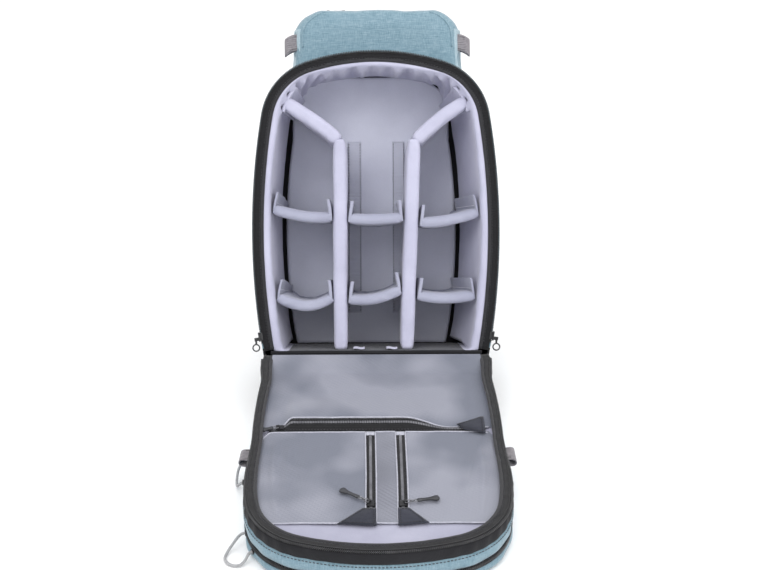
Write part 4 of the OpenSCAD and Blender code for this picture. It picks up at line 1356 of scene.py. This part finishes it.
def shelf(node, ends, sag, seed):
    """Sagging padded shelf between two ends, each (x, z, whether it stands at the case's wall)."""
    (x0, z0, wall0), (x1, z1, wall1) = ends
    path = sag_line(x0 + 1.6, z0, x1 - 1.6, z1, sag)
    s = np.linspace(0, 1, len(path))
    ends_in = np.minimum(smooth_step(-0.06, 0.05, s), 1 - smooth_step(0.95, 1.06, s))
    thick = (SHORT_T + 0.4) * (0.6 + 0.4 * ends_in)

    def shift(q, y):
        u = (q[0] - x0) / (x1 - x0)
        pull = 0.0
        if wall1:
            pull -= wall_pull(y, 1) * float(smooth_step(0.5, 1.0, u))
        if wall0:
            pull += wall_pull(y, -1) * (1 - float(smooth_step(0.0, 0.5, u)))
        dip = -1.2 * math.sin(math.pi * np.clip(u, 0, 1)) * smooth_step(30, 100, y)
        return np.array([float(pull), float(dip) + 0.6 * ripple((q[0], y, q[1]), 24.0, seed)])

    rows = bar(path, thick, shift)
    # the sewn back edge is gathered
    back_edge = smooth_step(96, 116, rows[..., 1])
    rows[..., 2] += 1.3 * back_edge * np.sin(rows[..., 0] * 0.5 + seed)
    ob = loft(f"{node}_pad", rows, SHELF, place=in_case)
    stuffed(ob, 0.0030)
    done(ob, node, "grey_lining", node)
    hem = []
    for q in resample(np.stack([path[:, 0], path[:, 0] * 0, path[:, 1]], 1)[2:-2], 2.0):
        lift = 0.5 * SHORT_T + 1.0 + 1.7 * math.sin(q[0] * 0.42 + seed) * ripple((q[0], 0, 0), 30.0, seed)
        move = shift(np.array([q[0], q[2]]), 110.0)
        hem.append((q[0] + move[0], 110.0, q[2] + move[1] + lift))
    rim = merged(f"{node}_hem", [tube_block(hem, 1.5, 8, (0, 1, 0))], SHELF, place=in_case)
    done(rim, node, "grey_lining")
    tabs, threads = [], []
    for (x, z, wall), outward_x, tab_seed in ((ends[0], -1, seed), (ends[1], 1, seed + 4)):
        tabs.append(tab_block(x - outward_x * 0.4, z, outward_x, wall, tab_seed))
        up = -5.0 + (TAB_H + 3.5) * 0.5
        threads += stitched_line([tab_point(x - outward_x * 3.0, z, outward_x, wall, tab_seed, 0.5, up, y)
                                  for y in np.linspace(DIV_Y0 + 12, DIV_Y1 - 8, 30)])
    done(merged(f"{node}_tabs", tabs, SHELF, place=in_case), node, "grey_lining")
    done(merged(f"{node}_stitches", threads, PALE_THREAD, place=in_case), node, "grey_lining")


def side_ends(face, side, z_wall, z_in):
    """Ends of a shelf between the case's wall and a long divider."""
    wall = min(cavity_wall_x(z_wall - SHORT_T / 2), cavity_wall_x(z_wall + TAB_H)) - 0.5
    inner = max(long_x(face, z_in - SHORT_T / 2), long_x(face, z_in + TAB_H)) + LONG_T / 2 + 0.5
    if side > 0:
        return ((inner, z_in, False), (wall, z_wall, True))
    return ((-wall, z_wall, True), (-inner, z_in, False))


def centre_ends(z_left, z_right):
    """Ends of a shelf between the two long dividers."""
    left = -(min(long_x(LEFT_FACE, z_left - SHORT_T), long_x(LEFT_FACE, z_left + TAB_H)) - LONG_T / 2 - 0.5)
    right = min(long_x(RIGHT_FACE, z_right - SHORT_T), long_x(RIGHT_FACE, z_right + TAB_H))
    right -= LONG_T / 2 + 0.5
    return ((left, z_left, False), (right, z_right, False))


threads = []
for edge in strip_threads:
    threads += stitched_line(edge, 3.6, 0.2)
done(merged("back_hook_strip_stitches", threads, THREAD, place=in_case), "case", "grey_back_lining")

shelf("shelf_left_upper", side_ends(LEFT_FACE, -1, 172, 163), 4, 1.0)
shelf("shelf_left_lower", side_ends(LEFT_FACE, -1, 67, 66), 11, 2.0)
shelf("shelf_centre_upper", centre_ends(161, 162), 2, 3.0)
shelf("shelf_centre_lower", centre_ends(64, 75), 6, 4.0)
shelf("shelf_right_upper", side_ends(RIGHT_FACE, 1, 168, 156), 4, 5.0)
shelf("shelf_right_lower", side_ends(RIGHT_FACE, 1, 68, 68), 4, 6.0)


# ---------------------------------------------------------------- front panel: walls
def floor_depth(s):
    """Depth below the zip plane at which the open panel meets the floor."""
    return (HINGE_Z + np.asarray(s, float) * math.cos(TURN)) / math.sin(TURN)


def panel_ring(inset, depth, corner=8.0):
    """Outline of the panel at an inset and a depth; deeper ones start farther from the hinge."""
    foot = max(2.5, 0.66 * depth)
    return at_depth(ring(inset, foot + inset, max(corner - inset, 1.5)), depth)


def on_floor(o, gap=0.15):
    """A panel outline laid just above the floor."""
    o[:, 1] = floor_depth(o[:, 2]) - gap
    return o


def puckers(pts, amount, rate, seed):
    """Gathered cloth: ridges across the band, strongest round the far corners."""
    angle = np.arctan2(pts[..., 2] - 170.0, pts[..., 0])
    corner = smooth_step(190, 300, pts[..., 2]) * smooth_step(30, 90, np.abs(pts[..., 0]))
    ridge = np.sin(angle * rate + 3.0 * ripples(pts, 60.0, seed))
    return amount * ridge * (0.25 + 0.75 * corner) + amount * 1.2 * ripples(pts, 20.0, seed + 1)


def gathered(pts, amount, rate, seed, weight):
    """Panel rows moved outward by their puckers and kept above the floor."""
    move = puckers(pts, amount, rate, seed) * np.asarray(weight)[:, None]
    pts = pts + outward(pts[0])[None] * move[..., None]
    pts[..., 1] = np.minimum(pts[..., 1], floor_depth(pts[..., 2]) - 0.1)
    return pts


def panel_band(name, stations, material, pucker, rate, seed):
    """Cloth band round the panel's side, puckered most in its middle."""
    pts = np.array([panel_ring(i, t) for i, t in stations])
    weight = np.sin(np.linspace(0, math.pi, len(stations)))
    return loft(name, gathered(pts, pucker, rate, seed, weight), material, caps="none", place=in_panel)


GUSSET_LINE = [(3.4, 4.2), (1.6, 2.9), (0.3, 3.2), (-0.4, 5.0), (-0.9, 8.5), (-0.9, 12), (-0.5, 15.2),
               (0.4, 17.4), (1.6, 18.0)]
BAND_LINE = [(2.2, 17.4), (0.6, 18.0), (-0.7, 19.6), (-1.4, 22.5), (-1.6, 26), (-1.3, 29.5), (-0.4, 32.4),
             (0.6, 33.7), (2.0, 34.1)]
TRIM_LINE = [(2.0, 33.8), (0.5, 34.3), (0.0, 35.6), (-0.1, 37), (0.0, 38.4), (0.5, 39.7), (2.0, 40.2)]
gusset = panel_band("panel_gusset_cloth", GUSSET_LINE, BLACK, 0.9, 70, 2.0)
done(gusset, "panel", "black_fabric", "panel_gusset")
band = panel_band("panel_band_cloth", BAND_LINE, TEAL, 0.6, 44, 4.0)
done(band, "panel", "teal_fabric", "panel_body")
trim = panel_band("front_pocket_tape", TRIM_LINE, TAPE, 0.3, 44, 5.0)
done(trim, "panel", "black_zip_tape", "front_pocket_zip")
turns = teeth_blocks(-0.5, 37.0, (0.7, 0.62, 2.2), 2.0, 40.0)
done(merged("front_pocket_coil", turns, TEETH, place=in_panel), "panel", "zip_teeth")
for row_depth in (19.4, 32.7):
    dashes = teeth_blocks(-1.25, row_depth, (0.35, 1.1, 0.25), 3.8, 30.0)
    name = f"panel_band_stitches_{int(row_depth)}"
    done(merged(name, dashes, THREAD, place=in_panel), "panel", "teal_fabric")


def toward_middle(edge):
    """Copies of a ring shrunk towards its middle."""
    spread = (edge - MIDDLE) * [1, 0, 1]
    return [edge - spread * (1 - f) for f in (0.66, 0.33, 0.06)]


POCKET_TOP, POCKET_LOW = 40.0, 76.0


def pocket_points():
    """Front pocket: from the zip down its side, then over the floor to its middle."""
    rows = []
    for f, inset in ((0, 1.6), (0.02, 0.2), (0.1, -0.8), (0.3, -1.6), (0.55, -1.6), (0.8, -0.4), (0.94, 1.2),
                     (1.0, 3.4)):
        o = on_floor(panel_ring(inset, POCKET_TOP + f * (POCKET_LOW - POCKET_TOP), 12.0))
        o[:, 1] = POCKET_TOP + f * (o[:, 1] - POCKET_TOP)
        rows.append(o)
    rows += [on_floor(panel_ring(inset, POCKET_LOW, 12.0)) for inset in (8.0, 20.0, 50.0)]
    rows += [on_floor(o) for o in toward_middle(rows[-1])]
    weight = [0, 0.2, 0.6, 1, 1, 0.7, 0.3] + [0] * (len(rows) - 7)
    return gathered(np.array(rows), 0.9, 30, 8.0, weight)


done(loft("front_pocket_cloth", pocket_points(), TEAL, caps="end", place=in_panel), "panel", "teal_fabric",
     "front_pocket")

# ---------------------------------------------------------------- front panel: lining and mesh pockets
LINING_LINE = ((7.0, 11.5), (8.5, 9.8), (12.0, 9.0), (16.0, 9.3), (22.0, 10.0), (32.0, 10.3), (50.0, 10.4))
lining_rows = []
for inset, t in LINING_LINE:
    o = ring(inset, 6.0 + 0.6 * inset, 6.0)
    pts3 = at_depth(o, t)
    gather = np.sin(np.arctan2(o[:, 1] - 170, o[:, 0]) * 80) * (inset < 20)
    soft = 0.8 * ripples(pts3, 24.0, 2.0) + 0.4 * gather
    pts3[:, 1] += soft * (0.3 if inset < 8 else 1.0)
    lining_rows.append(pts3)
lining_rows += toward_middle(lining_rows[-1])
panel_lining = loft("panel_lining_cloth", np.array(lining_rows), LINING_DIMMED, caps="end", place=in_panel)
done(panel_lining, "panel", "grey_lining", "panel_lining")


def half_width(inset, s):
    """Half width of the panel at an inset and a distance from the hinge."""
    s = float(s)
    shoulder_s = SHOULDER_C[1] + (SHOULDER_R - inset) * math.sin(SHOULDER_A)
    crown_s = SHOULDER_C[1] + (SHOULDER_R - inset) * math.sin(CROWN_A)
    if s <= shoulder_s:
        r, c = SIDE_R - inset, SIDE_C
    elif s <= crown_s:
        r, c = SHOULDER_R - inset, SHOULDER_C
    else:
        r, c = CROWN_R - inset, CROWN_C
    return c[0] + math.sqrt(max(r * r - (s - c[1]) ** 2, 0.0))


SHEET_IN, ZIP_W, UPPER_S, LOW_S0, LOW_S1 = 13.7, 11.0, 144.0, 149.5, 306.0
LEFT_ZIP_X, RIGHT_ZIP_X = -8.0, 25.0
LEFT_OUT, LEFT_IN = LEFT_ZIP_X - ZIP_W / 2, LEFT_ZIP_X + ZIP_W / 2
RIGHT_IN, RIGHT_OUT = RIGHT_ZIP_X - ZIP_W / 2, RIGHT_ZIP_X + ZIP_W / 2
MESH_DEPTH, ZIP_DEPTH, HEM_DEPTH, HEM_S = 8.7, 8.2, 7.8, LOW_S0 + 1.4


def folds(x, s, left, right, seed):
    """Height of the pocket's creases, strongest near its free sides."""
    h = 0.0
    for edge, sign in ((left, 1), (right, -1)):
        if edge is None:
            continue
        d = max(sign * (x - edge), 0.0)
        drift = 4.0 * ripple((x, 0, s), 60.0, seed)
        h += 1.25 * math.sin((d + drift) * 0.38 + 0.9) * math.exp(-d / 22.0)
        h += 0.8 * ripple((x * 1.4, 0, s * 0.5), 17.0, seed + 2) * math.exp(-d / 26.0)
    return 2.1 * h


def edge_lift(x):
    """How far the upper pocket's zip edge stands up from the panel."""
    return 6.0 * float(smooth_step(-110, -98, x)) * (1 - float(smooth_step(30, 80, x)))


def mesh_sheet(name, node, s0, s1, left_of, right_of, free, seed, material=POCKET, crown=1.1, nu=44,
               raised=False):
    """Stretched mesh between two lines along the hinge and two across; free tells its creased sides."""
    nv = 44
    near, far = s0(0), s1(0)
    rows = []
    for v in np.arange(nv + 1) / nv:
        row = []
        s = near + (far - near) * v
        left, right = left_of(s), right_of(s)
        for u in np.arange(nu + 1) / nu:
            x = left + (right - left) * u
            s = s0(x) + (s1(x) - s0(x)) * v
            rim = min(1.0, 22 * min(u, 1 - u)) * min(1.0, 9 * min(v, 1 - v))
            rise = crown * math.sin(math.pi * u) ** 0.6 * math.sin(math.pi * v) ** 0.6
            creases = folds(x, s, left_of(s) if free[0] else None, right_of(s) if free[1] else None, seed)
            soft = 0.55 * ripple((x, 0, s), 42.0, seed) + 0.25 * ripple((x, 0, s), 15.0, seed)
            rise += rim * (creases + soft)
            row.append((x, MESH_DEPTH - rise, s))
        rows.append(row)
    pts = np.array(rows)
    pts[..., 1] = np.clip(pts[..., 1], 3.6, 8.0)
    if raised:
        lift = np.array([[edge_lift(q[0]) for q in row] for row in pts])
        pts[..., 1] -= lift * smooth_step(70, 130, pts[..., 2]) + 8.6 * (1 - smooth_step(4, 36, pts[..., 2]))
    ob = fresh_mesh(name, pts, grid_faces(nv + 1, nu + 1), material, place=in_panel)
    done(ob, "panel", "pocket_mesh", node)


def side_edge(sign, cut=0.0):
    """Side of a mesh pocket, cut in by some mm next to the upper zip."""
    def at(s):
        near_zip = 1 - float(smooth_step(LOW_S0, LOW_S0 + 11, s))
        return sign * (half_width(SHEET_IN - 1.2, s) - cut * near_zip)
    return at


def constant(value):
    """A line that stays at one value."""
    return lambda _: value


def upper_edge(x):
    """The upper pocket's sewn edge: straight in the middle, lower at both ends."""
    drop = 6.0 * (1 - float(smooth_step(-122, -104, x))) + 4.5 * float(smooth_step(30, 88, x))
    return 138.2 - 1.2 * edge_lift(x) + drop


mesh_sheet("upper_mesh_sheet", "upper_mesh_pocket", constant(5.0), upper_edge, side_edge(-1), side_edge(1),
           (True, True), 2.0, raised=True)
NEAR, FAR = constant(LOW_S0 + 0.4), constant(LOW_S1)
mesh_sheet("left_mesh_sheet", "left_mesh_pocket", NEAR, FAR, side_edge(-1, 9.0), constant(LEFT_OUT + 0.6),
           (True, False), 5.0)
mesh_sheet("right_mesh_sheet", "right_mesh_pocket", NEAR, FAR, constant(RIGHT_OUT - 0.6), side_edge(1, 5.0),
           (False, True), 7.0)
mesh_sheet("centre_mesh_strip", "centre_strip", NEAR, FAR, constant(LEFT_IN - 0.6), constant(RIGHT_IN + 0.6),
           (False, False), 9.0, STRIP, 0.5, 14)


def turns_along(line, pitch, rise, over, along, across, up, skew=0.0):
    """Small blocks along a line on the panel, for a coil's turns or for stitches."""
    blocks = []
    q = resample(line, pitch)
    for a, b in zip(q[:-1], q[1:]):
        t = (b - a) / np.linalg.norm(b - a)
        centre = 0.5 * (a + b) - np.array([0, rise, 0])
        blocks.append(box_block(centre, t * along + over * skew, over * across, np.array([0, up, 0])))
    return blocks


def tape_run(name, ends, node, seed, hem=None, coil_at=0.0):
    """Pocket zip: tape with raised edges, coil and two rows of stitches; hem gives a raised far side."""
    line = resample([(x, ZIP_DEPTH, s) for x, s in ends], 3.0)
    d = np.gradient(line, axis=0)
    d /= np.linalg.norm(d, axis=1)[:, None]
    side = np.stack([d[:, 2], np.zeros(len(d)), -d[:, 0]], 1)
    low = line - side * 0.5 * ZIP_W
    high = np.array([hem(q[0]) for q in line]) if hem else line + side * 0.5 * ZIP_W

    def across(w):
        return low + (high - low) * (w + 0.5)

    rows = []
    for w in np.linspace(-0.5, 0.5, 9):
        at = across(w)
        at[:, 1] -= 0.35 * math.cos(w * 2 * math.pi)
        at[:, 1] += [0.25 * ripple(q, 12.0, seed) for q in at]
        rows.append(at)
    rows = np.transpose(np.array(rows), (1, 0, 2))
    tape = merged(name + "_tape", [strip_block(rows, (0, 0.8, 0))], TAPE, place=in_panel)
    done(tape, "panel", "black_zip_tape", node)
    over = np.mean(high - low, axis=0)
    over /= np.linalg.norm(over)
    turns = turns_along(across(coil_at), 1.9, 0.85, over, 0.62, 1.45, 0.42, 0.2)
    threads = []
    for w in (-0.36, 0.36):
        threads += turns_along(across(w), 3.6, 0.32, over, 1.1, 0.22, 0.2)
    done(merged(name + "_coil", turns, COIL, place=in_panel), "panel", "zip_teeth")
    done(merged(name + "_stitches", threads, THREAD, place=in_panel), "panel", "black_zip_tape")


tape_run("upper_zip", ((-126, UPPER_S), (126, UPPER_S)), "upper_pocket_zip", 1.0,
         lambda x: (x, ZIP_DEPTH - edge_lift(x), upper_edge(x)), 0.14)
tape_run("left_zip", ((LEFT_ZIP_X, LOW_S0 + 1), (LEFT_ZIP_X, LOW_S1)), "left_pocket_zip", 2.0)
tape_run("right_zip", ((RIGHT_ZIP_X, LOW_S0 + 1), (RIGHT_ZIP_X, LOW_S1)), "right_pocket_zip", 3.0)


def pale_edge(name, line, radius=0.95):
    """Pale rolled hem along a line on the panel."""
    path = resample(line, 3.0)
    path[:, 1] += 0.3 * np.array([ripple(q, 14.0, 3.0) for q in path])
    hem = merged(name, [tube_block(path, radius, 8, (0, 1, 0))], PALE, place=in_panel)
    done(hem, "panel", "pocket_mesh")


pale_edge("upper_pocket_hem",
          [(x, HEM_DEPTH - edge_lift(x), upper_edge(x) + 0.2) for x in np.linspace(-131, 131, 90)])
side_x = half_width(SHEET_IN, LOW_S0 + 12)
pale_edge("left_pocket_hem", [(-side_x, 8.0, LOW_S0 + 13), (-side_x + 8.5, HEM_DEPTH, LOW_S0 + 2.5),
                              (-side_x + 14, HEM_DEPTH, LOW_S0 + 1.6), (LEFT_OUT, HEM_DEPTH, HEM_S)])
pale_edge("right_pocket_hem", [(RIGHT_OUT, HEM_DEPTH, HEM_S), (side_x - 12, HEM_DEPTH, LOW_S0 + 1.6),
                               (side_x - 5, 7.9, LOW_S0 + 4)])
pale_edge("centre_strip_hem", [(LEFT_IN, HEM_DEPTH, HEM_S), (RIGHT_IN, HEM_DEPTH, HEM_S)], 1.1)
for label, x in (("left_outer", LEFT_OUT), ("left_inner", LEFT_IN), ("right_inner", RIGHT_IN),
                 ("right_outer", RIGHT_OUT)):
    line = [(x, HEM_DEPTH, HEM_S), (x + 0.6, 7.7, 230.0), (x, HEM_DEPTH, LOW_S1)]
    pale_edge(f"zip_edge_{label}", line, 0.8)
far_x = half_width(SHEET_IN - 1, LOW_S1)
pale_edge("far_pocket_hem", [(x, 8.3, LOW_S1 + 0.6 + 0.8 * ripple((x, 0, 0), 30.0))
                             for x in np.linspace(-far_x, far_x, 60)], 0.9)


def flap(corners, seed, bulge=0.9, level=6.7):
    """Small folded cloth flap between four corners (x, s)."""
    a, b, c, d = [np.array(q, float) for q in corners]
    rows = []
    for v in np.linspace(0, 1, 13):
        row = []
        for u in np.linspace(0, 1, 13):
            x, s = (a * (1 - u) + b * u) * (1 - v) + (d * (1 - u) + c * u) * v
            rise = bulge * math.sin(math.pi * u) * math.sin(math.pi * v) + 0.3 * ripple((x, 0, s), 9.0, seed)
            row.append((x, level - rise, s))
        rows.append(row)
    return strip_block(rows, (0, 0.7, 0))


ends = merged("zip_end_tabs", [
    flap([(x - 4.6, 151.0), (x + 4.6, 151.0), (x + 4.6, 157.5), (x - 4.6, 157.5)], 4.0 + x, 0.5, 7.0)
    for x in (LEFT_ZIP_X, RIGHT_ZIP_X)], PALE, place=in_panel)
done(ends, "panel", "pocket_mesh")
flaps = [flap([(-2.5, 312), (-42, 309), (-16, 284), (-2.5, 284)], 1.0),
         flap([(19.5, 312), (19.5, 284), (31, 284), (51, 308)], 2.0),
         flap([(90, UPPER_S - 3), (125, 126), (125, 158), (98, UPPER_S + 7)], 3.0, 0.9, 4.4)]
garages = merged("zip_garage_flaps", flaps, FLAP, place=in_panel)
done(garages, "panel", "dark_binding", "zip_garages")
flap_threads = []
for level, line in ((5.75, ((-5, 309.5), (-38, 307.5), (-15, 286.5), (-5, 286.5))),
                    (5.75, ((22, 309.5), (22, 286.5), (30, 286.5), (46.5, 306.5))),
                    (3.5, ((93, 142), (122, 128), (122, 156), (99, 149)))):
    closed = [(x, level, s) for x, s in line]
    flap_threads += stitched_line(closed + closed[:1], 3.0, 0.2)
done(merged("zip_garage_stitches", flap_threads, THREAD, place=in_panel), "panel", "dark_binding")


# ---------------------------------------------------------------- pulls
def waist(f):
    """Change of a pull's half width along it: drawn in at its middle, wider at its tip."""
    return 0.30 * (float(smooth_step(0.6, 0.92, f)) - math.sin(math.pi * min(f / 0.8, 1.0)))


def bone(u0, u1, wide, thick):
    """Moulded pull: waisted in the middle, with a rounded two-lobed tip."""
    rows = []
    for f in np.arange(27) / 26:
        end = min(1.0, math.sqrt(max(1 - (2 * abs(f - 0.5)) ** 9, 0.02)))
        t = thick * (0.8 + 0.25 * float(smooth_step(0.5, 0.9, f)))
        row = []
        for a in full_turn(16):
            c, s = squared(a, 3)
            row.append((u0 + (u1 - u0) * f, wide * (0.78 + waist(f)) * end * c, t * end * s))
        rows.append(row)
    return capped(rows)


def link(u0, u1, half, wire, upright=False):
    """Closed wire link between two places along a pull."""
    c, s = squared(np.linspace(0, 2 * math.pi, 25), 3)
    u, v, zero = 0.5 * (u0 + u1) + 0.5 * (u1 - u0) * c, half * s, np.zeros(25)
    pts = np.stack([u, zero, v] if upright else [u, v, zero], 1)
    return tube_block(pts, wire, 8, (0, 1, 0.01) if upright else (0, 0, 1))


def pull(name, place, turn, length, chained):
    """Zip pull on its own body: pin and links, then a ribbed grip with metal edges."""
    def spot(points):
        p = np.asarray(points, float)
        a = math.radians(turn)
        u = p[..., 0] + 2.4
        return place(np.stack([u * math.cos(a) - p[..., 1] * math.sin(a),
                               u * math.sin(a) + p[..., 1] * math.cos(a), p[..., 2] + 3.7], -1))

    metal = [tube_block([(0, -2.5, 0), (0, 0, 0), (0, 2.5, 0)], 0.68, 12), link(-0.9, 6.2, 2.15, 0.55)]
    start = 5.0
    if chained:
        metal += [link(4.9, 9.6, 1.1, 0.45, True), link(8.4, 13.0, 1.5, 0.5)]
        start = 11.6
    reach = length - start
    done(merged(name + "_link", metal, STEEL, place=spot), name, "slider_metal")
    parts = [bone(start, length, 3.9, 1.5)]
    for f in (0.80, 0.86, 0.92):
        u = start + reach * f
        parts.append(tube_block([(u, -2.2, 0.95), (u, 0, 1.12), (u, 2.2, 0.95)], 0.28, 6))
    done(merged(name + "_grip", parts, RUBBER, place=spot), name, "pull_rubber", name)
    edge = []
    for sign in (-1, 1):
        line = [(start + reach * f, sign * 3.3 * (0.62 + waist(f)), 0.85)
                for f in np.linspace(0.12, 0.86, 14)]
        edge.append(tube_block(line, 0.22, 6))
    done(merged(name + "_edge", edge, STEEL, place=spot), name, "pull_rubber")


def on_panel(x, s):
    """Place of a slider on the panel's lining side."""
    return lambda p: in_panel_rigid(np.stack([x + p[..., 0], 8.0 - p[..., 2], s - p[..., 1]], -1))


def on_hood(p):
    """Place of the slider on the hood."""
    return in_case(np.stack([-60 + p[..., 0], 78 + p[..., 1], 414.3 + p[..., 2]], -1))


def on_front(p):
    """Place of the slider on the front pocket's zip, turned along its arc."""
    a = math.radians(-7)
    z = p[..., 2] + CROWN_R - 0.8
    x = p[..., 0] * math.cos(a) + z * math.sin(a)
    s = 95 - p[..., 0] * math.sin(a) + z * math.cos(a)
    return in_panel_rigid(np.stack([x, 37.0 - p[..., 1], s], -1))


pull("upper_pull", on_panel(-108, UPPER_S), 200, 18.0, False)
pull("left_pull", on_panel(LEFT_ZIP_X, 278), 146, 36.0, True)
pull("right_pull", on_panel(RIGHT_ZIP_X, 278), 10, 36.0, True)
pull("hood_pull", on_hood, 0, 22.0, False)
pull("front_pull", on_front, 0, 22.0, False)


def paint(material, *nodes):
    """Gives a CAD node that stays its finished material."""
    for name in nodes:
        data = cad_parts[name].data
        if not data.materials:
            data.materials.append(material)
        for k in range(len(data.materials)):
            data.materials[k] = material


paint(PAINT, "case_slider_left", "case_slider_right", "hood_slider", "upper_slider", "left_slider",
      "right_slider", "front_slider", "ring_pull_left", "ring_pull_right")
paint(PLASTIC, "ladder_locks", "cord_eyelets")
paint(BLACK, "hinge_piping")


# ---------------------------------------------------------------- floor and light
LAMPS = (("key", (-0.9, -1.6, 2.3), 1.6, 26.0), ("fill", (1.7, -1.3, 1.5), 1.8, 19.0),
         ("top", (0.1, 0.5, 2.6), 2.0, 20.0))
LAMPS_AIM = Vector((0, 0.12, 0.15))


def add_stage():
    """White floor, even sky light and three soft lamps."""
    bpy.ops.mesh.primitive_plane_add(size=14.0, location=(0, 0, -0.0006))
    floor = bpy.context.object
    floor.name = "floor"
    n = Nodes("floor_paper", 0.9, specular=0.1)
    n.finish(n.ramp(n.noise(2.0), [(0.2, srgb(250, 250, 251)), (0.8, srgb(254, 254, 254))]))
    floor.data.materials.append(n.material)
    world = bpy.data.worlds.new("world")
    bpy.context.scene.world = world
    world.use_nodes = True
    sky = world.node_tree.nodes["Background"].inputs
    sky["Color"].default_value = (1, 1, 1, 1)
    sky["Strength"].default_value = 0.95
    for name, where, size, power in LAMPS:
        data = bpy.data.lights.new(name, "AREA")
        data.size = size
        data.energy = power
        lamp = bpy.data.objects.new(name, data)
        bpy.context.scene.collection.objects.link(lamp)
        lamp.location = where
        lamp.rotation_euler = (LAMPS_AIM - Vector(where)).to_track_quat("-Z", "Y").to_euler()
    bpy.context.scene.view_settings.view_transform = "Standard"


add_stage()
